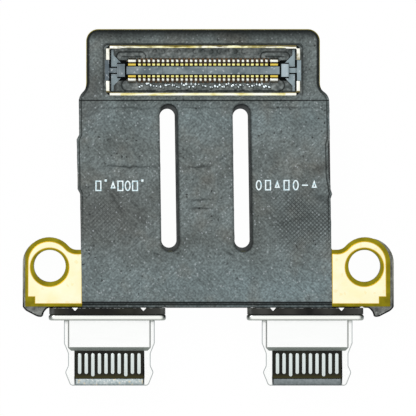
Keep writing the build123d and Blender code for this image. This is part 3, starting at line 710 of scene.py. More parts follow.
def facing(tree):
    """The surface's direction, split along X, Y and Z."""
    return axes(tree, add(tree, "ShaderNodeNewGeometry").outputs["Normal"])


def level_share(tree):
    """1 where the surface lies level, 0 where it stands upright."""
    return sums(tree, "ABSOLUTE", facing(tree)["Z"], 0.0)


def tilt_mask(tree):
    """How far the surface turns away from level."""
    return fade(tree, level_share(tree), 0.985, 0.72)


# Finishes
def film_finish():
    """Black shield film: grey matt with fine grain, rubbed scratches, copper ribs, and painted shade at
    its folds, creases, seam and rolled head edge.
    """
    material, tree, shader, place = new_material("shield_film", Roughness=0.55)
    split = axes(tree, place)
    x, y = split["X"], split["Y"]
    mottle = soft_noise(tree, place, 380, 3.0, 0.34, 0.66)
    base = ramp(tree, mottle, (0.0, (0.096, 0.112, 0.108)), (1.0, (0.152, 0.182, 0.182)))
    cloud = soft_noise(tree, place, 150, 3.0)
    # Lighter, bluer bands near the front and back of the tail; the back band is a painted cool highlight
    front = within(tree, y, COOL_FRONT)
    back = product(tree, within(tree, y, COOL_BACK), 0.6)
    cool = sums(tree, "MAXIMUM", front, back)
    cool = product(tree, cool, sums(tree, "ADD", product(tree, cloud, 0.7), 0.3))
    base = blend(tree, base, cool, 0.90, (0.164, 0.218, 0.230))
    left = rising(tree, x, LEFT_SIDE)
    # Darker over these rows towards the left side
    left_darkening = product(tree, within(tree, y, LEFT_DARKER_ROWS), left)
    base = blend(tree, base, left_darkening, 0.65, (0.098, 0.103, 0.096))
    shoulder = product(tree, within(tree, y, SHOULDER_ROWS), rising(tree, x, SHOULDER_SIDE))
    base = blend(tree, base, shoulder, 0.60, (0.082, 0.090, 0.088))
    strip = product(tree, within(tree, y, STRIP_ROWS), within(tree, x, STRIP_WIDTH))
    base = blend(tree, base, strip, 0.85, (0.205, 0.245, 0.245))
    warm = soft_noise(tree, place, 500, 3.0, 0.50, 0.75)
    base = blend(tree, base, warm, 0.45, (0.142, 0.136, 0.116))
    grain = use_group(tree, GRAIN, Vector=place, Scale=6200.0, Depth=0.000010)
    light = ramp(tree, grain["Value"], (0.34, grey(0.72)), (0.50, grey(1.0)), (0.66, grey(1.36)))
    base = mix(tree, 1.0, base, light, "MULTIPLY")
    rubbed = use_group(tree, SCRATCHES, Vector=place, Scale=7600.0, Strength=1.1)["Value"]
    rubbed = add(tree, "ShaderNodeCombineColor", {"Red": rubbed, "Green": rubbed, "Blue": rubbed})
    base = mix(tree, 1.0, base, rubbed.outputs["Color"], "MULTIPLY")
    bright = specked(tree, place, 6200.0, 0.40, 0.93)
    base = blend(tree, base, bright, 0.50, (0.42, 0.46, 0.48))
    scuffed = soft_noise(tree, place, 300, 2.0, 0.46, 0.62)
    for scale, size, rarity in ((4200.0, 0.34, 0.90), (2400.0, 0.20, 0.86)):
        pits = specked(tree, place, scale, size, rarity)
        pits = product(tree, pits, sums(tree, "ADD", product(tree, scuffed, 0.65), 0.20))
        base = mix(tree, pits, base, (0.020, 0.023, 0.023))
    hatch = use_group(tree, HATCH, Vector=place, Pitch=HATCH_PITCH * MM)["Height"]
    patches = soft_noise(tree, place, 330, 2.0, 0.26, 0.46)
    region = product(tree, within(tree, y, HATCH_ROWS), patches)
    right = rising(tree, x, RIGHT_SIDE)
    sides = sums(tree, "MAXIMUM", right, product(tree, left, 0.45))
    ribs = product(tree, hatch, product(tree, region, sides))
    base = mix(tree, product(tree, ribs, 0.72, True), base, (0.024, 0.029, 0.030))
    # Painted shade at the folds, creases and seam, and towards the head's rolled top edge
    rolled = rising(tree, y, HEAD_ROLL)
    shade = sums(tree, "MAXIMUM", shade_mask(tree), rolled)
    base = blend(tree, base, shade, 0.95, (0.010, 0.012, 0.012))
    paint(tree, shader, base)
    matt_where(tree, shader, shade, 0.22, 0.02)
    height = {"Height": ribs, "Distance": RIB_HEIGHT * MM, "Normal": grain["Normal"]}
    relief = add(tree, "ShaderNodeBump", height)
    tree.links.new(relief.outputs["Normal"], shader.inputs["Normal"])
    return material


def dark_film_finish():
    """The lower film, painted dark as the shade it lies in where it shows past the upper one."""
    material, tree, shader, place = new_material("lower_film", Roughness=0.5, Specular_IOR_Level=0.3)
    mottle = soft_noise(tree, place, 900, 4.0)
    base = ramp(tree, mottle, (0.0, (0.020, 0.024, 0.024)), (1.0, (0.050, 0.056, 0.056)))
    paint(tree, shader, base)
    add_grain(tree, shader, place, 9500.0, 0.000010)
    return material


def olive_finish():
    """Olive solder mask on the flexible circuit, with painted shade on its turned-down edges."""
    material, tree, shader, place = new_material("olive_mask", Roughness=0.38, Specular_IOR_Level=0.12)
    mottle = soft_noise(tree, place, 1300, 4.0)
    base = ramp(tree, mottle, (0.0, (0.190, 0.155, 0.000)), (1.0, (0.285, 0.240, 0.002)))
    # Painted shade where the surface turns down
    tilt = tilt_mask(tree)
    base = blend(tree, base, tilt, 0.7, (0.060, 0.050, 0.002))
    paint(tree, shader, base)
    add_grain(tree, shader, place, 5200.0, 0.000005)
    return material


def gold_pad_finish():
    """Bright gold plating, cream from above, with painted shade in deeper gold at its edge, and faint
    pits.
    """
    material, tree, shader, place = new_material("pad_gold", Metallic=1.0, Roughness=0.42)
    mottle = soft_noise(tree, place, 700, 4.0)
    base = ramp(tree, mottle, (0.0, (1.0, 0.930, 0.590)), (1.0, (1.0, 0.975, 0.720)))
    pits = specked(tree, place, 2700.0, 0.34, 0.70)
    base = blend(tree, base, pits, 0.30, (1.0, 0.74, 0.30))
    # Painted shade in deeper gold at the edge
    base = mix(tree, shade_mask(tree), base, (0.62, 0.40, 0.010))
    paint(tree, shader, base)
    add_grain(tree, shader, place, 4200.0, 0.000003)
    return material


def steel_finish(name, colour, side, bevel, roughness, depth):
    """Plated steel with faint drawing marks, with painted shade: greyer where it turns down and darkest
    on front bevels.
    """
    material, tree, shader, place = new_material(name, Metallic=1.0)
    mottle = soft_noise(tree, drawn_out(tree, place, 0.12), 2600, 4.0)
    low = tuple(channel * 0.975 for channel in colour)
    base = ramp(tree, mottle, (0.0, low), (1.0, colour))
    # Painted shade: side colour where the surface turns down, bevel colour on bevels that face forward
    tilt = tilt_mask(tree)
    forward = product(tree, product(tree, facing(tree)["Y"], level_share(tree)), -2.2, True)
    base = mix(tree, tilt, base, mix(tree, forward, side, bevel))
    paint(tree, shader, base)
    rough = between(tree, mottle, roughness * 0.8, roughness * 1.2)
    dull = product(tree, product(tree, forward, tilt), 0.40)
    tree.links.new(sums(tree, "ADD", rough, dull), shader.inputs["Roughness"])
    add_grain(tree, shader, place, 6500.0, depth)
    return material


def nose_finish():
    """Bare blue-grey steel of the tongue's nose, its darker grey a painted reflection, brighter on the
    left port's, with specks on the left port's painted as glints and painted shade where it turns down.
    """
    material, tree, shader, place = new_material("nose_steel", Metallic=1.0, Roughness=0.35)
    mottle = soft_noise(tree, place, 5200, 4.0)
    split = axes(tree, place)
    left = sums(tree, "LESS_THAN", split["X"], 0.0)
    # Darker grey than the rails: a painted reflection
    bright = ramp(tree, mottle, (0.0, (0.400, 0.480, 0.490)), (1.0, (0.640, 0.720, 0.730)))
    dull = ramp(tree, mottle, (0.0, (0.190, 0.220, 0.225)), (1.0, (0.270, 0.305, 0.315)))
    base = mix(tree, left, dull, bright)
    # Specks painted as glints on the left port's nose
    for scale, rarity, colour in ((7000.0, 0.60, (0.95, 0.97, 0.95)), (5200.0, 0.86, (0.95, 0.80, 0.52))):
        specks = specked(tree, place, scale, 0.42, rarity)
        base = blend(tree, base, product(tree, specks, left), 0.6, colour)
    # Painted shade where the surface turns down
    tilt = tilt_mask(tree)
    base = blend(tree, base, tilt, 0.6, (0.08, 0.09, 0.09))
    paint(tree, shader, base)
    add_grain(tree, shader, place, 9000.0, 0.000006)
    return material


def plastic_finish(name, low, high, roughness, scale, depth, edge=0.0):
    """Moulded plastic: a slightly mottled colour under fine grain, with painted shade at its turned-down
    edges as strong as edge.
    """
    material, tree, shader, place = new_material(name, Roughness=roughness, Specular_IOR_Level=0.3)
    mottle = soft_noise(tree, place, scale, 4.0)
    base = ramp(tree, mottle, (0.0, low), (1.0, high))
    # Painted shade where the surface turns down
    tilt = tilt_mask(tree)
    base = mix(tree, product(tree, tilt, edge), base, (0.006, 0.007, 0.007))
    paint(tree, shader, base)
    add_grain(tree, shader, place, scale * 3.0, depth)
    return material


def port_black_finish():
    """Glossy black port insulator: olive near the nose, with painted highlights at its rounded ends and
    back edge and a painted sheen on its top.
    """
    material, tree, shader, place = new_material("port_black", Roughness=0.22, Specular_IOR_Level=0.16)
    mottle = soft_noise(tree, place, 700, 4.0)
    base = ramp(tree, mottle, (0.0, (0.004, 0.004, 0.003)), (1.0, (0.013, 0.013, 0.007)))
    split = axes(tree, place)
    y, z = split["Y"], split["Z"]
    nose = rising(tree, y, OLIVE_NOSE)
    base = mix(tree, nose, base, (0.034, 0.030, 0.006))
    turned = facing(tree)
    high = beyond(tree, z, RIM_LEVEL)
    # Painted highlight on the rounded ends
    sideways = product(tree, sums(tree, "ABSOLUTE", turned["X"], 0.0), 2.0, True)
    ends = product(tree, product(tree, sideways, high), soft_noise(tree, place, 1500, 3.0))
    base = blend(tree, base, ends, 0.8, (0.120, 0.130, 0.120))
    # Painted reflection, broken, along the rim's back edge
    back = product(tree, product(tree, turned["Y"], high), 1.6, True)
    broken = soft_noise(tree, place, 4200, 3.0, 0.46, 0.60)
    base = blend(tree, base, product(tree, back, broken), 0.7, (0.42, 0.44, 0.44))
    # Painted sheen on the top
    sheen = soft_noise(tree, place, 420, 2.0, 0.40, 0.65)
    base = blend(tree, base, product(tree, sheen, high), 0.6, (0.060, 0.062, 0.056))
    paint(tree, shader, base)
    add_grain(tree, shader, place, 2600.0, 0.000004)
    return material


def bracket_finish():
    """Black coated casting with painted light: satin grey where it lies level, pale on its rim away from
    the hooks, finely specked with painted glints; painted shade black at its edges and on the hooks'
    rims.
    """
    material, tree, shader, place = new_material("cast_black", Roughness=0.40)
    mottle = soft_noise(tree, place, 2200, 4.0)
    # Satin grey on level faces: painted light on a black coating
    base = ramp(tree, mottle, (0.0, (0.095, 0.102, 0.097)), (1.0, (0.330, 0.345, 0.325)))
    # Specks painted as glints
    specks = specked(tree, place, 6500.0, 0.40, 0.86)
    base = blend(tree, base, specks, 0.50, (0.50, 0.52, 0.48))
    tilt = tilt_mask(tree)
    hooks = rising(tree, axes(tree, place)["Y"], HOOK_ROWS)
    # Pale rim away from the hooks: painted light
    flank = mix(tree, soft_noise(tree, place, 900, 3.0), (0.130, 0.130, 0.095), (0.360, 0.360, 0.300))
    coat = mix(tree, mottle, (0.006, 0.007, 0.007), (0.016, 0.017, 0.017))
    upright = fade(tree, level_share(tree), 0.45, 0.20)
    flank = mix(tree, upright, flank, coat)
    rim = shade_mask(tree)
    base = mix(tree, tilt, base, coat)
    # Painted shade black on the hooks' rims, painted light on the rest of the rim
    base = mix(tree, rim, base, mix(tree, hooks, flank, (0.003, 0.004, 0.004)))
    tilt = sums(tree, "MAXIMUM", tilt, product(tree, rim, hooks))
    paint(tree, shader, base)
    matt_where(tree, shader, tilt, 0.40, 0.02)
    add_grain(tree, shader, place, 3600.0, 0.000008)
    return material


def connector_body_finish():
    """Slate plastic of the board connector, brown on its side walls, with painted shade black in its gaps
    and at edges.
    """
    material, tree, shader, place = new_material("slate_plastic", Roughness=0.42)
    mottle = soft_noise(tree, place, 1300, 5.0)
    base = ramp(tree, mottle, (0.0, (0.090, 0.122, 0.140)), (1.0, (0.215, 0.262, 0.280)))
    split = axes(tree, place)
    offset = from_connector(tree, split, "X")[0]
    lean = rising(tree, offset, LEAN_SIDE)
    base = blend(tree, base, lean, 0.75, (0.290, 0.370, 0.400))
    block_end = within(tree, offset, BLOCK_END)
    base = blend(tree, base, block_end, 0.62, (0.470, 0.560, 0.610))
    wall_end = short_of(tree, offset, WALL_END)
    base = blend(tree, base, wall_end, 0.70, (0.070, 0.095, 0.115))
    level = short_of(tree, split["Z"], GUIDE_LEVEL)
    base = blend(tree, base, level, 0.60, (0.250, 0.320, 0.345))
    specks = specked(tree, place, 5200.0, 0.40, 0.84)
    base = blend(tree, base, specks, 0.45, (0.55, 0.60, 0.63))
    seam = sums(tree, "PINGPONG", split["X"], LINE_PITCH * MM)
    seam = short_of(tree, seam, LINE_WIDTH)
    base = blend(tree, base, seam, 0.45, (0.050, 0.060, 0.065))
    wall = short_of(tree, split["Z"], WALL_LEVEL)
    base = blend(tree, base, wall, 0.95, (0.070, 0.036, 0.008))
    # Painted shade: near-black below the floor level and where the surface turns down
    deep = short_of(tree, split["Z"], FLOOR_LEVEL)
    tilt = tilt_mask(tree)
    dark = sums(tree, "MAXIMUM", deep, tilt)
    base = mix(tree, dark, base, (0.004, 0.005, 0.005))
    paint(tree, shader, base)
    matt_where(tree, shader, dark, 0.30, 0.03)
    add_grain(tree, shader, place, 4800.0, 0.000006)
    return material


def land_finish():
    """Dark mask round the connector, with painted shade on its raised outlines and dimples and painted
    shadow close round the fence.
    """
    material, tree, shader, place = new_material("connector_mask", Roughness=0.45)
    mottle = soft_noise(tree, place, 1900, 5.0)
    base = ramp(tree, mottle, (0.0, (0.078, 0.096, 0.094)), (1.0, (0.215, 0.240, 0.236)))
    split = axes(tree, place)
    offset, depth = from_connector(tree, split, "Y")
    past = beyond(tree, depth, LAND_EDGE)
    base = blend(tree, base, past, 0.85, (0.148, 0.175, 0.172))
    before = short_of(tree, offset, -LAND_EDGE)
    base = blend(tree, base, before, 0.80, (0.240, 0.285, 0.285))
    grain = use_group(tree, GRAIN, Vector=place, Scale=5200.0, Depth=0.000010)
    light = ramp(tree, grain["Value"], (0.34, grey(0.66)), (0.50, grey(1.0)), (0.66, grey(1.55)))
    base = mix(tree, 1.0, base, light, "MULTIPLY")
    # Painted shade and shadow carried by the shade attribute
    shade = shade_mask(tree)
    base = mix(tree, shade, base, (0.014, 0.017, 0.017))
    paint(tree, shader, base)
    matt_where(tree, shader, shade, 0.30, 0.03)
    tree.links.new(grain["Normal"], shader.inputs["Normal"])
    return material


def connector_gold_finish():
    """Contacts bright where they cross the side walls, with painted shade as dark lines in their grooves
    and at their feet, and at turned-down edges.
    """
    material, tree, shader, place = new_material("connector_gold", Metallic=1.0, Roughness=0.30)
    split = axes(tree, place)
    offset, reach = from_connector(tree, split, "Y")
    upper = beyond(tree, offset, 0.0)
    outward = rising(tree, reach, CONTACT_SHOULDER)
    base = mix(tree, outward, (1.0, 0.80, 0.20), (0.93, 0.96, 0.90))
    wear = soft_noise(tree, place, 3200, 3.0, 0.45, 0.70)
    base = blend(tree, base, wear, 0.30, (0.80, 0.70, 0.30))
    # Painted shade in the grooves and at the feet
    groove = within(tree, reach, CONTACT_GROOVE)
    dark = product(tree, groove, upper)
    lower = sums(tree, "SUBTRACT", 1.0, upper)
    foot = within(tree, reach, CONTACT_FOOT)
    dark = sums(tree, "MAXIMUM", dark, product(tree, foot, lower))
    base = blend(tree, base, dark, 0.95, (0.020, 0.015, 0.010))
    # Painted shade where the surface turns down
    tilt = tilt_mask(tree)
    base = blend(tree, base, tilt, 0.70, (0.18, 0.10, 0.03))
    paint(tree, shader, base)
    add_grain(tree, shader, place, 9000.0, 0.000004)
    return material


def tip_gold_finish():
    """Gold contact tips beside the island, deeper in colour at the wide power contacts, with painted
    shade at their turned-down edges.
    """
    material, tree, shader, place = new_material("tip_gold", Metallic=1.0, Roughness=0.35)
    split = axes(tree, place)
    reach = from_connector(tree, split, "X")[1]
    power = beyond(tree, reach, POWER_START)
    wear = soft_noise(tree, place, 3600, 3.0)
    base = ramp(tree, wear, (0.0, (0.74, 0.66, 0.16)), (1.0, (0.98, 0.95, 0.40)))
    base = mix(tree, power, base, (0.76, 0.58, 0.10))
    # Painted shade where the surface turns down
    tilt = tilt_mask(tree)
    base = blend(tree, base, tilt, 0.7, (0.20, 0.13, 0.01))
    paint(tree, shader, base)
    return material


def fence_finish():
    """Tinned fence: painted highlight on its bright ends, a cream run between them, and painted shade as
    old gold along its long edges and black in its corners.
    """
    material, tree, shader, place = new_material("fence_tin", Metallic=1.0, Roughness=0.32)
    split = axes(tree, place)
    reach = from_connector(tree, split, "X")[1]
    offset, depth = from_connector(tree, split, "Y")
    # Painted highlight on the flattened ends
    ends = rising(tree, reach, (FENCE_END_X, FENCE_END_X + 0.10))
    streak = drawn_out(tree, place, 0.30)
    mottle = soft_noise(tree, streak, 2800, 4.0)
    bright = (1.0, 1.0, 0.90)
    middle = ramp(tree, mottle, (0.0, (0.80, 0.70, 0.26)), (0.5, (1.0, 0.98, 0.64)), (1.0, bright))
    base = mix(tree, ends, middle, bright)
    behind = beyond(tree, offset, 0.0)
    gaps = product(tree, soft_noise(tree, place, 1500, 4.0, 0.47, 0.60), behind)
    base = blend(tree, base, gaps, 0.68, (0.22, 0.18, 0.03))
    # Painted shade along the long edges and where the surface turns down
    ragged = soft_noise(tree, streak, 2300, 3.0)
    ragged = sums(tree, "ADD", offset, product(tree, ragged, FENCE_RAG * MM))
    rear = beyond(tree, ragged, FENCE_REAR)
    front = within(tree, offset, FENCE_FRONT)
    tilt = tilt_mask(tree)
    edge = sums(tree, "MAXIMUM", sums(tree, "MAXIMUM", rear, front), product(tree, tilt, 0.9))
    base = blend(tree, base, edge, 0.93, (0.13, 0.095, 0.004))
    # Painted shade, black, in the corners
    corner = product(tree, beyond(tree, reach, FENCE_CORNER[0]), beyond(tree, depth, FENCE_CORNER[1]))
    base = mix(tree, corner, base, (0.012, 0.013, 0.012))
    paint(tree, shader, base)
    add_grain(tree, shader, place, 5200.0, 0.000008)
    return material


def print_finish():
    """Pale blue-white print with slightly broken coverage."""
    material, tree, shader, place = new_material("white_print", Roughness=0.6)
    broken = soft_noise(tree, place, 6500, 3.0)
    thin, full = (0.45, 0.66, 0.72), (0.90, 0.98, 1.0)
    base = ramp(tree, broken, (0.0, thin), (0.5, (0.80, 0.93, 0.96)), (1.0, full))
    paint(tree, shader, base)
    return material


# Shield films and pads
def top_of(node, name):
    """The upward face of a CAD node as an open sheet."""
    sheet = copy_of(node, name)
    top = box_of(node)[1].z
    edit(sheet)
    pick("FACE", lambda face: face.normal.z < 0.9 or face.calc_center_median().z < top - 0.002)
    bpy.ops.mesh.delete(type="FACE")
    leave()
    return sheet


def cut(place, across):
    """Cuts the open sheet along a plane."""
    bpy.ops.mesh.select_all(action="SELECT")
    bpy.ops.mesh.bisect(plane_co=place, plane_no=across, threshold=MERGE)


def draw_rings(sheet, widths, above=-1000.0):
    """Draws rings in from the edge of a sheet, or of its part past one Y, and numbers their corners."""
    edit(sheet)
    mesh = opened()
    mesh.verts.layers.int.new("ring")
    mesh.verts.layers.float.new("shade")
    pick("FACE", lambda face: face.calc_center_median().y > above)
    for index, width in enumerate(widths, 1):
        bpy.ops.mesh.inset(thickness=width, use_boundary=True, use_even_offset=False)
        mesh = opened()
        ring = mesh.verts.layers.int["ring"]
        for face in mesh.faces:
            if face.select:
                for vert in face.verts:
                    vert[ring] = index
    leave()


def set_heights(sheet, height, shade_of):
    """Sets the height and the fold shade of every corner from its place and its ring."""
    edit(sheet)
    mesh = opened()
    ring = mesh.verts.layers.int["ring"]
    shade = mesh.verts.layers.float["shade"]
    for vert in mesh.verts:
        x, y = vert.co.x, vert.co.y
        vert[shade] = shade_of(x, y, vert[ring])
        vert.co.z += height(x, y, vert[ring])
    update()
    leave()


def grid_cuts(sheet, step):
    """Cuts a sheet along a square grid, so that creases can be pressed into it."""
    edit(sheet)
    corners = [vert.co.copy() for vert in opened().verts]
    for axis in (0, 1):
        low = min(corner[axis] for corner in corners)
        high = max(corner[axis] for corner in corners)
        count = int((high - low) / step)
        for index in range(1, count + 1):
            place = [0.0, 0.0, 0.0]
            place[axis] = low + (high - low) * index / (count + 1)
            across = [0.0, 0.0, 0.0]
            across[axis] = 1.0
            cut(place, across)
    leave()


def crease_height(x, y):
    """Height of all the creases at one place."""
    total = 0.0
    for (ax, ay), (bx, by), width, height in CREASES:
        dx, dy = bx - ax, by - ay
        along = min(max(((x - ax) * dx + (y - ay) * dy) / (dx * dx + dy * dy), 0.0), 1.0)
        wander = 0.12 * noise.noise(Vector((x * 1.7, y * 1.7, height * 90)))
        away = math.hypot(x - ax - along * dx, y - ay - along * dy + wander)
        taper = math.sin(math.pi * (0.12 + 0.76 * along))
        total += height * taper * math.exp(-((away / width) ** 2))
    return total


def press(sheet, swell):
    """Presses the creases and a slow swell into a sheet, and paints shade into the creases."""
    edit(sheet)
    mesh = opened()
    shade = mesh.verts.layers.float["shade"]
    for vert in mesh.verts:
        x, y = vert.co.x, vert.co.y
        slow = noise.noise(Vector((x / SWELL_LENGTH, y / SWELL_LENGTH, 3.1)))
        fold = crease_height(x, y)
        vert.co.z += fold + swell * slow
        # Painted shade in the creases
        vert[shade] = min(max(vert[shade] + max(-fold, 0.0) * CREASE_DARKNESS, 0.0), 1.0)
    update()
    leave()


def wander_edges(sheet):
    """Makes the hand-trimmed sides of the tail wander a little."""
    edit(sheet)
    for vert in opened().verts:
        if vert.is_boundary and EAR_TOP_Y + EAR_BLEND < vert.co.y < TAIL_TOP[1]:
            step = noise.noise(Vector((vert.co.x * 0.8, vert.co.y * 1.6, 7.7)))
            fine = noise.noise(Vector((vert.co.x * 0.8, vert.co.y * 6.0, 2.2)))
            vert.co.x += EDGE_WANDER * (step + 0.4 * fine)
    update()
    leave()


def tail_centre(y):
    """X of the tail's leaning centre line."""
    share = (y - TAIL_BASE[1]) / (TAIL_TOP[1] - TAIL_BASE[1])
    return TAIL_BASE[0] + (TAIL_TOP[0] - TAIL_BASE[0]) * share


def edge_kind(x, y):
    """Which edge of the films a ring at one place belongs to."""
    beside = min(abs(x - centre) for centre in SLOT_CENTRES)
    if beside < SLOT_REACH and SLOT_SPAN[0] < y < SLOT_SPAN[1]:
        return "slot"
    if abs(x - CONNECTOR[0]) < WINDOW_REACH[0] and abs(y - CONNECTOR[1]) < WINDOW_REACH[1]:
        return "window"
    if y < EAR_TOP_Y + NEAR:
        return "flat"
    return "side"


def film_height(x, y, ring):
    """How far the film is drawn down at one place."""
    kind = edge_kind(x, y)
    if kind == "slot":
        return -SLOT_DROPS[ring]
    if kind == "window":
        return -WINDOW_DROPS[ring]
    if kind == "flat":
        return 0.0
    past = abs(x - tail_centre(y)) - CIRCUIT_HALF
    wrapped = TAIL_DROP * ease(past, -0.01, CIRCUIT_WRAP) * ease(y, EAR_TOP_Y, EAR_TOP_Y + EAR_BLEND)
    rolled = HEAD_DROPS[ring]
    share = ease(y, TAIL_TOP[1], HEAD_SHOULDER_Y)
    return -(wrapped + (rolled - wrapped) * share)


def film_shade(x, y, ring):
    """How much painted shade the fold carries at one place."""
    kind = edge_kind(x, y)
    if kind == "slot":
        beside = min((x - centre for centre in SLOT_CENTRES), key=abs)
        share = SLOT_SIDE_SHARE[0] + (SLOT_SIDE_SHARE[1] - SLOT_SIDE_SHARE[0]) * ease(beside, -0.45, 0.45)
        capped = max(ease(y, 11.7, 12.0), 0.7 * ease(y, 1.75, 1.45))
        return SLOT_SHADES[ring] * max(share, capped)
    if kind == "window":
        return WINDOW_SHADES[ring] * (0.10 + 0.90 * ease(y, CONNECTOR[1] - 2.1, CONNECTOR[1] - 1.5))
    if kind == "flat":
        return 0.0
    share = ease(y, TAIL_TOP[1], HEAD_SHOULDER_Y)
    tail = TAIL_SHADES[ring] * ease(y, EAR_TOP_Y, EAR_TOP_Y + EAR_BLEND)
    return tail + (HEAD_SHADES[ring] - tail) * share


def film_blank():
    """Both upper films as one sheet, joined across the seam, so that their rolled edges run on."""
    tail = top_of("main_shield_film", "tail_sheet")
    head = top_of("head_shield_film", "head_sheet")
    seam = box_of("head_shield_film")[0].y
    blank = joined([tail, head], "film_blank")
    edit(blank)
    reach = SEAM_DROP + MERGE
    pick("EDGE", lambda edge: edge.is_boundary and all(abs(v.co.y - seam) < reach for v in edge.verts))
    bpy.ops.mesh.bridge_edge_loops()
    pick("VERT", lambda vert: abs(vert.co.y - EAR_TOP_Y) < NEAR and abs(vert.co.x) > EAR_STEP[0])
    bpy.ops.mesh.remove_doubles(threshold=EAR_STEP[1])
    bpy.ops.mesh.select_all(action="SELECT")
    bpy.ops.mesh.dissolve_limited(angle_limit=FLAT_ANGLE)
    cut((0.0, RING_START_Y, 0.0), (0.0, 1.0, 0.0))
    leave()
    draw_rings(blank, RING_WIDTHS, RING_START_Y)
    set_heights(blank, film_height, film_shade)
    grid_cuts(blank, FILM_GRID)
    edit(blank)
    for away in SEAM_CUTS:
        cut((0.0, seam - away, 0.0), (0.0, 1.0, 0.0))
        cut((0.0, seam + away, 0.0), (0.0, 1.0, 0.0))
    cut((0.0, seam, 0.0), (0.0, 1.0, 0.0))
    for row in CREASE_ROWS:
        for away in CREASE_SPREAD:
            cut((0.0, row + away, 0.0), (0.0, 1.0, 0.0))
    leave()
    press(blank, SWELL_HEIGHT)
    wander_edges(blank)
    return blank, seam


def shade_seam(sheet, seam):
    """Tucks a sheet's edge down along the seam and paints shade along it."""
    edit(sheet)
    mesh = opened()
    shade = mesh.verts.layers.float["shade"]
    for vert in mesh.verts:
        away = abs(vert.co.y - seam)
        if away < MERGE * 10:
            vert.co.z -= SEAM_DROP
            vert[shade] = 1.0
        elif away < SEAM_CUTS[0] + MERGE * 10:
            vert[shade] = max(vert[shade], SEAM_SHADES[0] if vert.co.y < seam else SEAM_SHADES[1])
    update()
    leave()


def fold_front(sheet):
    """Folds the tail film down over the board's front edge and out along the ledge, and paints shade on
    the fold.
    """
    edit(sheet)
    front = min(vert.co.y for vert in opened().verts)
    for inward in FRONT_BAND:
        cut((0.0, front + inward, 0.0), (0.0, 1.0, 0.0))
    mesh = opened()
    shade = mesh.verts.layers.float["shade"]
    for vert in mesh.verts:
        if vert.co.y < front + FRONT_BAND[0] + MERGE:
            vert[shade] = 1.0
    update()
    pick("EDGE", lambda edge: edge.is_boundary and all(v.co.y < front + NEAR for v in edge.verts))
    reached = (0.0, 0.0)
    for y, z, dark in FRONT_FOLD:
        move = (0.0, y - reached[0], z - reached[1])
        bpy.ops.mesh.extrude_region_move(TRANSFORM_OT_translate={"value": move})
        mesh = opened()
        shade = mesh.verts.layers.float["shade"]
        for vert in mesh.verts:
            if vert.select:
                vert[shade] = dark
        update()
        reached = (y, z)
    leave()


def shield_films(finish):
    """Upper films: drawn down at their edges, creased, parted at the seam and folded at the front."""
    tail, seam = film_blank()
    edit(tail)
    pick("FACE", lambda face: face.calc_center_median().y > seam)
    bpy.ops.mesh.separate(type="SELECTED")
    leave()
    head = next(piece for piece in bpy.context.selected_objects if piece != tail)
    tail.name = "main_shield_film_draped"
    head.name = "head_shield_film_rolled"
    for sheet in (tail, head):
        shade_seam(sheet, seam)
    fold_front(tail)
    thickened(tail, FILM_STOCK)
    thickened(head, FILM_STOCK)
    settle(tail, finish, "shield_film", "main_shield_film")
    settle(head, finish, "shield_film", "head_shield_film")


def lower_film(finish):
    """Film under the tail, carried on to the rigid board's edge, so that its dark colour fills the gap
    there as painted shade.
    """
    sheet = copy_of("underside_shield_film", "underside_shield_film_laid")
    edit(sheet)
    for vert in opened().verts:
        if vert.co.y < EAR_TOP_Y + NEAR:
            vert.co.y = EAR_TOP_Y - LOWER_FILM_REACH
    update()
    leave()
    settle(rounded(sheet, FILM_ROUND, 1), finish, "shield_film", "underside_shield_film")


def ground_pads(finish):
    """Both gold pads, crowned in from their edges, which carry painted shade in deeper gold."""
    for side in ("left", "right"):
        node = f"{side}_ground_pad"
        sheet = top_of(node, f"{node}_plated")
        draw_rings(sheet, PAD_RING_WIDTHS)
        set_heights(sheet, lambda x, y, ring: -PAD_DROPS[ring], lambda x, y, ring: PAD_SHADES[ring])
        thickened(sheet, PAD_STOCK)
        settle(sheet, finish, "gold_plating", node)


# Ports
def contact_faces(side, upper, finish):
    """The ten contact faces let into one side of a tongue, round at both ends."""
    low, high = box_of(f"{side}_port_midplate")
    flange_front = box_of(f"{side}_port_flange")[0].y
    middle = (low.x + high.x) / 2
    level = high.z if upper else low.z
    outward = 1 if upper else -1
    heights = sorted((level - outward * CONTACT_SINK, level + outward * CONTACT_STAND))
    faces = []
    for index in range(CONTACT_COUNT):
        x = middle + (index - (CONTACT_COUNT - 1) / 2) * CONTACT_PITCH
        length = CONTACT_LENGTH + (CONTACT_EXTRA if index in LONG_CONTACTS else 0.0)
        top_y = flange_front - CONTACT_START
        half = CONTACT_WIDTH / 2
        face = block("contact", (x - half, top_y - length, heights[0]), (x + half, top_y, heights[1]))
        edit(face)
        pick("EDGE", lambda edge: abs(edge.verts[0].co.z - edge.verts[1].co.z) > MERGE)
        bpy.ops.mesh.bevel(offset=half * 0.99, segments=6, affect="EDGES")
        proud = heights[1] if upper else heights[0]
        pick("EDGE", lambda edge: all(abs(v.co.z - proud) < MERGE for v in edge.verts))
        bpy.ops.mesh.bevel(offset=CONTACT_ROUND, segments=2, affect="EDGES")
        leave()
        faces.append(face)
    row = "top" if upper else "bottom"
    piece = joined(faces, f"{side}_port_{row}_contact_faces")
    return settle(piece, finish, "contact_plating")


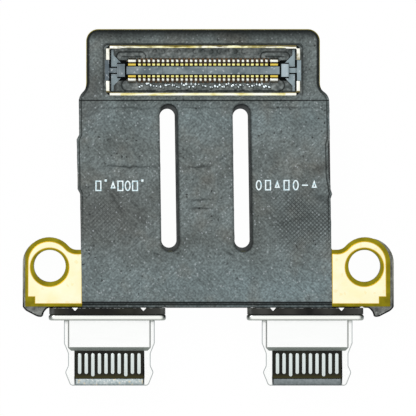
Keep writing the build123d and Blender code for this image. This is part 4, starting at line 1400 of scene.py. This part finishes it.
def shield_tabs(side, finish):
    """Two small pointed steel tabs that show between the board's edge and the flange."""
    plate_low, plate_high = box_of(f"{side}_port_midplate")
    rim_high = box_of(f"{side}_port_housing")[1]
    board_front = box_of("main_shield_film")[0].y
    middle = (plate_low.x + plate_high.x) / 2
    tabs = []
    for place in (-TAB_SPREAD, TAB_SPREAD):
        x = middle + place
        base = board_front - NEAR
        half = TAB_WIDTH / 2
        low = (x - half, base - TAB_REACH, rim_high.z)
        tab = block("tab", low, (x + half, base, rim_high.z + TAB_STOCK))
        edit(tab)
        pick("VERT", lambda vert: vert.co.y < base - TAB_REACH / 2)
        for vert in opened().verts:
            if vert.select:
                vert.co.x = x + (vert.co.x - x) * TAB_POINT
        update()
        leave()
        tabs.append(rounded(tab, TAB_ROUND))
    return settle(joined(tabs, f"{side}_port_shield_tabs"), finish, "port_steel")


def insulator(side, finish):
    """Port insulator with the edges of its rim rounded."""
    body = copy_of(f"{side}_port_housing", f"{side}_port_insulator")
    top = box_of(f"{side}_port_housing")[1].z
    back = box_of("main_shield_film")[0].y - RIM_GAP
    edit(body)
    pick(
        "EDGE",
        lambda edge: all(v.co.y > back - RIM_LENGTH - 0.02 and v.co.y < back + 0.02 for v in edge.verts)
        and sum(v.co.z for v in edge.verts) > 2 * (top - RIM_DEPTH)
        and edge.calc_face_angle(0.0) > math.radians(60),
    )
    bpy.ops.mesh.bevel(offset=RIM_ROUND, segments=3, affect="EDGES")
    leave()
    return settle(body, finish, "port_plastic", f"{side}_port_housing", angle=FLAT_SHADING)


def rim_apron(side, finish):
    """Small black filler between a rim's outer end and the board's edge."""
    low, high = box_of(f"{side}_port_housing")
    edge = box_of("port_board")[0].y
    top = box_of("port_board")[1].z - 0.02
    start, width, deep, level = APRON
    outer = low.x + start if side == "left" else high.x - start - width
    name = f"{side}_port_rim_apron"
    piece = block(name, (outer, edge - deep, low.z + level), (outer + width, edge - 0.01, top))
    return settle(rounded(piece, APRON_ROUND, 1), finish, "port_plastic")


def rails_inner(side):
    """X of the inner faces of a tongue's two rails."""
    low, high = box_of(f"{side}_port_midplate")
    middle = (low.x + high.x) / 2
    half = (CONTACT_COUNT - 1) * CONTACT_PITCH / 2 + RAIL_MARGIN
    return middle - half, middle + half


def ports(steel, edged, drawn, nose, plating, black):
    """Both ports: flange, collars, rails with their nose, insulator, contact faces and tabs."""
    for side in ("left", "right"):
        node = f"{side}_port_flange"
        flange = rounded(copy_of(node, f"{node}_plate"), FLANGE_ROUND, 4, held=False)
        settle(flange, edged, "port_steel", node)
        for level in ("upper", "lower"):
            node = f"{side}_port_{level}_collar"
            collar = rounded(copy_of(node, f"{node}_drawn"), COLLAR_ROUND, 3, 20)
            settle(collar, drawn, "port_steel", node, angle=FLAT_SHADING)
        rails = copy_of(f"{side}_port_midplate", f"{side}_port_midplate_rails")
        rails = rounded(rails, RAIL_ROUND, 3, held=False)
        rails.data.materials.append(steel)
        rails.data.materials.append(nose)
        nose_start = box_of(f"{side}_port_midplate")[0].y + NOSE_LENGTH
        inner = rails_inner(side)
        for face in rails.data.polygons:
            middle = face.center
            if middle.y < nose_start and inner[0] < middle.x < inner[1]:
                face.material_index = 1
        settle(rails, None, "port_steel", f"{side}_port_midplate")
        insulator(side, black)
        rim_apron(side, black)
        contact_faces(side, True, plating)
        contact_faces(side, False, plating)
        shield_tabs(side, steel)


# Board connector
def track_ridge(x, y):
    """Strength of the outlines moulded beside the contact rows, at one place on the connector's land."""
    if y > 0:
        centre_x, centre_y = TRACK_CENTRE
        dx = max(abs(abs(x) - centre_x) - (TRACK_LENGTH - TRACK_WIDTH) / 2, 0.0)
        away = math.hypot(dx, y - centre_y)
        outline = math.exp(-(((away - TRACK_WIDTH / 2) / TRACK_LINE) ** 2))
        inner = math.exp(-((away / TRACK_INNER_LINE) ** 2)) if dx == 0.0 else 0.0
        return outline + 0.9 * inner
    half, centre_y, radius = LOWER_OUTLINE
    dx = max(abs(x) - (half - radius), 0.0)
    away = math.hypot(dx, y + centre_y)
    broken = noise.noise(Vector((x * 1.1, y * 1.1, 5.0))) > -0.12
    if dx == 0.0 and (y > -centre_y or not broken):
        return 0.0
    return math.exp(-(((away - radius) / TRACK_LINE) ** 2))


def dimple_ring(x, y):
    """Strength of the round dimples' outlines beside the contact rows."""
    if abs(x) > DIMPLE_END:
        return 0.0
    place = round(x / DIMPLE_PITCH)
    row = DIMPLE_ROW[0] if y > 0 else DIMPLE_ROW[1]
    chance = noise.noise(Vector((place * 0.9, row, 0.5)))
    if chance < -0.25:
        return 0.0
    dx, dy = x - place * DIMPLE_PITCH, y - row - 0.05 * chance
    open_side = ease(math.sin(math.atan2(dy, dx) + place * 2.1), -1.0, 0.3)
    away = math.hypot(dx, dy)
    return open_side * math.exp(-(((away - DIMPLE_RADIUS) / DIMPLE_LINE) ** 2))


def land_outline(x, y):
    """Painted shadow of the line close round the fence: strong behind it, less beside it and faint in
    front.
    """
    half_x, half_y, radius = LAND_OUTLINE
    width, behind, beside, before = LAND_LINE
    dx = abs(x) - (half_x - radius)
    dy = abs(y) - (half_y - radius)
    away = math.hypot(max(dx, 0.0), max(dy, 0.0)) + min(max(dx, dy), 0.0) - radius
    along = ease(dy, -0.1, radius * 0.7)
    strength = beside + ((behind if y > 0 else before) - beside) * along
    return strength * math.exp(-((away / width) ** 2))


def connector_land(finish):
    """Dark mask round the connector's base, with raised outlines and dimples, painted shade on them and
    painted shadow along the fence.
    """
    rear_low, rear_high = box_of("board_connector_rear_fence")
    front_low = box_of("board_connector_front_fence")[0]
    middle = Vector((CONNECTOR[0], CONNECTOR[1], rear_low.z + LAND_STOCK))
    width = rear_high.x - rear_low.x + 2 * LAND_MARGIN
    depth = rear_high.y - front_low.y + 2 * LAND_MARGIN
    bpy.ops.object.select_all(action="DESELECT")
    bpy.ops.mesh.primitive_grid_add(
        x_subdivisions=int(width / LAND_GRID),
        y_subdivisions=int(depth / LAND_GRID),
        size=1,
        location=middle,
    )
    land = bpy.context.object
    land.name = "board_connector_land"
    land.data.name = land.name
    land.scale = (width, depth, 1.0)
    bpy.ops.object.transform_apply(location=True, rotation=False, scale=True)
    edit(land)
    pick(
        "FACE",
        lambda face: abs(face.calc_center_median().x - middle.x) < LAND_OPENING[0]
        and abs(face.calc_center_median().y - middle.y) < LAND_OPENING[1],
    )
    bpy.ops.mesh.delete(type="FACE")
    mesh = opened()
    shade = mesh.verts.layers.float.new("shade")
    for vert in mesh.verts:
        x, y = vert.co.x - middle.x, vert.co.y - middle.y
        marked = min(track_ridge(x, y) + DIMPLE_SHARE * dimple_ring(x, y), 1.0)
        vert.co.z += TRACK_RIDGE * marked + 0.004 * noise.noise(Vector((x * 3, y * 3, 0.2)))
        # Painted shade on the outlines and dimples, painted shadow round the fence and along its inner
        # wall
        inner = math.exp(-(((y + LAND_INNER_Y) / LAND_INNER_LINE) ** 2))
        vert[shade] = max(marked, land_outline(x, y), inner if abs(x) < LAND_INSIDE else 0.0)
    update()
    leave()
    thickened(land, LAND_STOCK)
    return settle(land, finish, "shield_film")


def resin_strips(finish):
    """Amber resin between and under the contacts, one strip along each row."""
    low, high = box_of("board_connector_signal_contacts")
    strips = []
    for side in (-1, 1):
        ends = sorted((CONNECTOR[1] + side * RESIN_INNER, CONNECTOR[1] + side * RESIN_OUTER))
        start = (low.x - RESIN_MARGIN, ends[0], low.z + RESIN_LIFT)
        strip = block("resin", start, (high.x + RESIN_MARGIN, ends[1], low.z + RESIN_LIFT + RESIN_STOCK))
        strips.append(rounded(strip, RESIN_ROUND))
    return settle(joined(strips, "board_connector_resin"), finish, "connector_plastic")


def contact_tips(finish):
    """Flat gold tips of all the contacts, lying beside the island."""
    base = box_of("board_connector_housing")[0].z + TIP_LIFT
    places = [((index - HALF_ROW) * SIGNAL_PITCH, SIGNAL_WIDTH) for index in range(SIGNALS_PER_ROW)]
    places += [(x, POWER_WIDTH) for x in POWER_PLACES]
    tips = []
    for x, width in places:
        for side in (-1, 1):
            ends = sorted((CONNECTOR[1] + side * TIP_REACH[0], CONNECTOR[1] + side * TIP_REACH[1]))
            low = (CONNECTOR[0] + x - width / 2, ends[0], base)
            tips.append(block("tip", low, (CONNECTOR[0] + x + width / 2, ends[1], base + TIP_STOCK)))
    piece = rounded(joined(tips, "board_connector_contact_tips"), FILM_ROUND, 1)
    return settle(piece, finish, "gold_plating")


def solder_beads(finish):
    """Small uneven solder joints at the feet of the lower row."""
    level = box_of("board_connector_signal_contacts")[0].z + LAND_STOCK + 0.02
    beads = []
    for index in range(2 * SIGNALS_PER_ROW):
        if CHANCE.random() < 0.15:
            continue
        x = CONNECTOR[0] + (index / 2 - HALF_ROW) * SIGNAL_PITCH + CHANCE.uniform(-0.05, 0.05)
        y = CONNECTOR[1] - BEAD_ROW - CHANCE.uniform(0.0, BEAD_SPREAD)
        size = [part * CHANCE.uniform(0.7, 1.5) for part in BEAD_SIZE]
        bpy.ops.object.select_all(action="DESELECT")
        place = (x, y, level)
        bpy.ops.mesh.primitive_ico_sphere_add(subdivisions=2, radius=1.0, location=place, scale=size)
        bpy.ops.object.transform_apply(location=True, rotation=False, scale=True)
        beads.append(bpy.context.object)
    return settle(joined(beads, "board_connector_solder_beads"), finish, "connector_shield")


def fence(end, finish):
    """One half of the fence, its lip a little narrower between the two bright ends."""
    node = f"board_connector_{end}_fence"
    piece = copy_of(node, f"{node}_formed")
    outward = 1 if end == "rear" else -1
    top = box_of(node)[1].z
    edit(piece)
    for side in (-1, 1):
        for past in (0.0, FENCE_BLEND):
            cut((CONNECTOR[0] + side * (FENCE_END_X + past), 0.0, 0.0), (1.0, 0.0, 0.0))
    pick(
        "VERT",
        lambda vert: abs(vert.co.x - CONNECTOR[0]) < FENCE_END_X + 0.02
        and abs(vert.co.y - CONNECTOR[1]) < FENCE_LIP_Y
        and vert.co.z > top - FENCE_LIP_DEPTH,
    )
    bpy.ops.transform.translate(value=(0.0, outward * FENCE_NARROWING, 0.0))
    leave()
    return settle(rounded(piece, FENCE_ROUND, 2), finish, "connector_shield", node)


def board_connector(plastic, tin, gold, tips, resin, solder, mask):
    """Dresses the connector's body, fence and contacts, and adds what lies round them."""
    body = rounded(copy_of("board_connector_housing", "board_connector_body"), BODY_ROUND, 2)
    settle(body, plastic, "connector_plastic", "board_connector_housing")
    for end in ("rear", "front"):
        fence(end, tin)
    signals = copy_of("board_connector_signal_contacts", "board_connector_signal_contacts_formed")
    for vert in signals.data.vertices:
        place = (vert.co.x - CONNECTOR[0]) / SIGNAL_PITCH + HALF_ROW
        centre = CONNECTOR[0] + (round(place) - HALF_ROW) * SIGNAL_PITCH
        vert.co.x = centre + (vert.co.x - centre) * SIGNAL_SLIMMING
    settle(rounded(signals, FORMED_ROUND, 2, 12), gold, "gold_plating", "board_connector_signal_contacts")
    powers = copy_of("board_connector_power_contacts", "board_connector_power_contacts_formed")
    settle(rounded(powers, FORMED_ROUND, 2, 12), gold, "gold_plating", "board_connector_power_contacts")
    contact_tips(tips)
    connector_land(mask)
    resin_strips(resin)
    solder_beads(solder)


# Marks, bracket and boards
def mark(corners, x, y, z):
    """One plain printed mark: an outline with that many corners, a dash for two, a dot for one."""
    width, height = MARK_SIZE
    lift = 0.0
    if corners == 1:
        width, height, lift = MARK_DOT, MARK_DOT, MARK_SIZE[1] / 2
    elif corners == 2:
        height = MARK_STROKE
    bpy.ops.object.select_all(action="DESELECT")
    if corners in (1, 2, 4):
        bpy.ops.mesh.primitive_plane_add(size=1, location=(x, y + lift, z))
    else:
        place = (x, y, z)
        bpy.ops.mesh.primitive_circle_add(vertices=corners, radius=0.5, fill_type="NGON", location=place)
    piece = bpy.context.object
    piece.scale = (width, height, 1)
    bpy.ops.object.transform_apply(location=True, rotation=False, scale=True)
    if corners > 2:
        edit(piece)
        bpy.ops.mesh.select_all(action="SELECT")
        bpy.ops.mesh.inset(thickness=MARK_STROKE, use_even_offset=True)
        bpy.ops.mesh.delete(type="FACE")
        leave()
    return thickened(piece, MARK_STOCK * 2)


def printed_marks(finish):
    """Two rows of plain printed marks on the tail."""
    top = box_of("main_shield_film")[1].z + SWELL_HEIGHT + MARK_STOCK
    marks = []
    for (x, y), pitch, shapes in (LEFT_MARKS, RIGHT_MARKS):
        for index, corners in enumerate(shapes):
            marks.append(mark(corners, x + index * pitch, y, top))
    return settle(joined(marks, "printed_marks"), finish, "shield_film")


def dress_node(node, material):
    """Gives a CAD node that keeps its shape its finish."""
    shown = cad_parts[node]
    shown.data.materials.clear()
    shown.data.materials.append(material)


def bracket(finish):
    """Black bracket with its hooks' corners eased and a rounded rim along its upper edges, which carries
    painted shade on the hooks and painted light elsewhere.
    """
    piece = copy_of("base_bracket", "base_bracket_cast")
    edit(piece)
    pick(
        "EDGE",
        lambda edge: abs(edge.verts[0].co.z - edge.verts[1].co.z) > 1.0
        and edge.verts[0].co.y < HOOK_START
        and edge.calc_face_angle_signed(0.0) > math.radians(20),
    )
    bpy.ops.mesh.bevel(offset=HOOK_ROUND, segments=3, affect="EDGES")
    top = max(vert.co.z for vert in opened().verts)
    pick("VERT", lambda vert: vert.co.z > top - NEAR)
    bpy.ops.mesh.remove_doubles(threshold=SHORT_EDGE)
    opened().verts.layers.float.new("shade")
    pick("FACE", lambda face: face.normal.z > 0.9 and face.calc_center_median().z > top - NEAR)
    for width, dark, drop in BRACKET_RIM:
        mesh = opened()
        shade = mesh.verts.layers.float["shade"]
        for vert in mesh.verts:
            if vert.select:
                vert[shade] = dark
                vert.co.z = top - drop
        update()
        if width:
            bpy.ops.mesh.inset(thickness=width, use_boundary=True, use_even_offset=False)
    leave()
    return settle(piece, finish, "black_bracket", "base_bracket")


def boards(olive, rigid):
    """Flexible circuit and rigid board, with their routed edges just broken."""
    circuit = rounded(copy_of("flex_circuit", "flex_circuit_routed"), ROUTED_ROUND, 2)
    settle(circuit, olive, "flex_core", "flex_circuit")
    board = rounded(copy_of("port_board", "port_board_routed"), ROUTED_ROUND, 1)
    settle(board, rigid, "rigid_board", "port_board")


# Stage
def floor_and_world():
    """A plain white floor and a white sky that darkens towards the horizon."""
    bpy.ops.object.select_all(action="DESELECT")
    bpy.ops.mesh.primitive_plane_add(size=FLOOR_SIZE, location=(0, 0, 0))
    floor = bpy.context.object
    floor.name = "floor"
    material = bpy.data.materials.new("floor_white")
    material.use_nodes = True
    tree = material.node_tree
    tree.nodes.clear()
    path = add(tree, "ShaderNodeLightPath")
    seen = sums(tree, "MAXIMUM", path.outputs["Is Camera Ray"], path.outputs["Is Glossy Ray"])
    seen = sums(tree, "MAXIMUM", seen, path.outputs["Is Transmission Ray"])
    paint = add(tree, "ShaderNodeBsdfDiffuse", {"Color": (*grey(FLOOR_PAINT), 1.0)})
    glow = add(tree, "ShaderNodeEmission", {"Color": (1.0, 1.0, 1.0, 1.0), "Strength": 1.0})
    share = product(tree, seen, FLOOR_GLOW)
    both = add(tree, "ShaderNodeMixShader", {0: share, 1: paint.outputs[0], 2: glow.outputs[0]})
    add(tree, "ShaderNodeOutputMaterial", {"Surface": both.outputs[0]})
    floor.data.materials.append(material)

    world = bpy.data.worlds.new("studio")
    bpy.context.scene.world = world
    world.use_nodes = True
    tree = world.node_tree
    tree.nodes.clear()
    direction = add(tree, "ShaderNodeTexCoord").outputs["Generated"]
    up = axes(tree, direction)["Z"]
    sky = ramp(tree, up, *((place, grey(level)) for place, level in SKY))
    camera = add(tree, "ShaderNodeLightPath").outputs["Is Camera Ray"]
    colour = mix(tree, camera, sky, (1.0, 1.0, 1.0))
    background = add(tree, "ShaderNodeBackground", {"Color": colour, "Strength": 1.0})
    add(tree, "ShaderNodeOutputWorld", {"Surface": background.outputs[0]})


def key_light():
    """One large soft lamp from the upper left, low in power."""
    lamp = bpy.data.lights.new("key", "AREA")
    lamp.shape = "DISK"
    lamp.size = LAMP_SIZE
    lamp.energy = LAMP_POWER
    holder = bpy.data.objects.new("key", lamp)
    bpy.context.scene.collection.objects.link(holder)
    holder.location = LAMP_PLACE
    holder.rotation_euler = (-holder.location).to_track_quat("-Z", "Y").to_euler()


def camera():
    """Looks straight down on the board."""
    data = bpy.data.cameras.new("camera")
    data.sensor_width = SENSOR
    data.lens = SENSOR * VIEW_HEIGHT / VIEW_WIDTH
    data.clip_start = 0.05
    data.clip_end = 5.0
    holder = bpy.data.objects.new("camera", data)
    bpy.context.scene.collection.objects.link(holder)
    holder.location = (VIEW_CENTRE[0] * MM, VIEW_CENTRE[1] * MM, (VIEW_HEIGHT + TOP_PLANE) * MM)
    bpy.context.scene.camera = holder
    bpy.context.scene.view_settings.view_transform = "Standard"


def dress():
    """Makes every piece and gives every node its finish."""
    film = film_finish()
    under = dark_film_finish()
    olive = olive_finish()
    gold = gold_pad_finish()
    # Steel colours: each plain colour, then the painted shade for its sides that turn down and for its
    # front bevels
    cream, dark_side, pale_bevel = (0.97, 0.99, 0.94), (0.17, 0.19, 0.18), (0.50, 0.54, 0.50)
    flange = steel_finish("flange_steel", cream, dark_side, pale_bevel, 0.25, 0.000003)
    white, grey_side, grey_bevel = (0.985, 0.995, 0.985), (0.42, 0.47, 0.47), (0.36, 0.40, 0.37)
    steel = steel_finish("port_steel", white, grey_side, grey_bevel, 0.22, 0.000002)
    collar = steel_finish("collar_steel", white, (0.24, 0.26, 0.24), grey_bevel, 0.22, 0.000002)
    nose = nose_finish()
    plating = steel_finish("contact_silver", (0.72, 0.79, 0.77), grey(0.30), grey(0.30), 0.30, 0.000003)
    # Near-black for the port contacts' bodies: painted shade round their bright faces
    sunk = plastic_finish("sunk_metal_painted_shade", (0.014, 0.014, 0.010), (0.030, 0.030, 0.022), 0.4, 2200, 0.000003)
    tin, tin_side, tin_bevel = (0.88, 0.97, 1.0), (0.30, 0.40, 0.44), (0.26, 0.32, 0.34)
    solder = steel_finish("solder", tin, tin_side, tin_bevel, 0.22, 0.000010)
    plain = (0.60, 0.61, 0.62)
    stiffener = steel_finish("stiffener_steel", plain, grey(0.30), grey(0.20), 0.35, 0.000003)
    brown, honey = (0.060, 0.028, 0.006), (0.160, 0.080, 0.022)
    amber = plastic_finish("amber_resin", brown, honey, 0.30, 2600, 0.000006)
    laminate, fibre = (0.060, 0.062, 0.020), (0.110, 0.110, 0.045)
    rigid = plastic_finish("rigid_board", laminate, fibre, 0.60, 1200, 0.000006)

    shield_films(film)
    lower_film(under)
    ground_pads(gold)
    boards(olive, rigid)
    bracket(bracket_finish())
    ports(steel, flange, collar, nose, plating, port_black_finish())
    board_connector(
        connector_body_finish(),
        fence_finish(),
        connector_gold_finish(),
        tip_gold_finish(),
        amber,
        solder,
        land_finish(),
    )
    printed_marks(print_finish())
    dress_node("head_stiffener", stiffener)
    for side in ("left", "right"):
        dress_node(f"{side}_port_rear_shell", steel)
        dress_node(f"{side}_port_top_contacts", sunk)
        dress_node(f"{side}_port_bottom_contacts", sunk)


camera()
floor_and_world()
key_light()
dress()
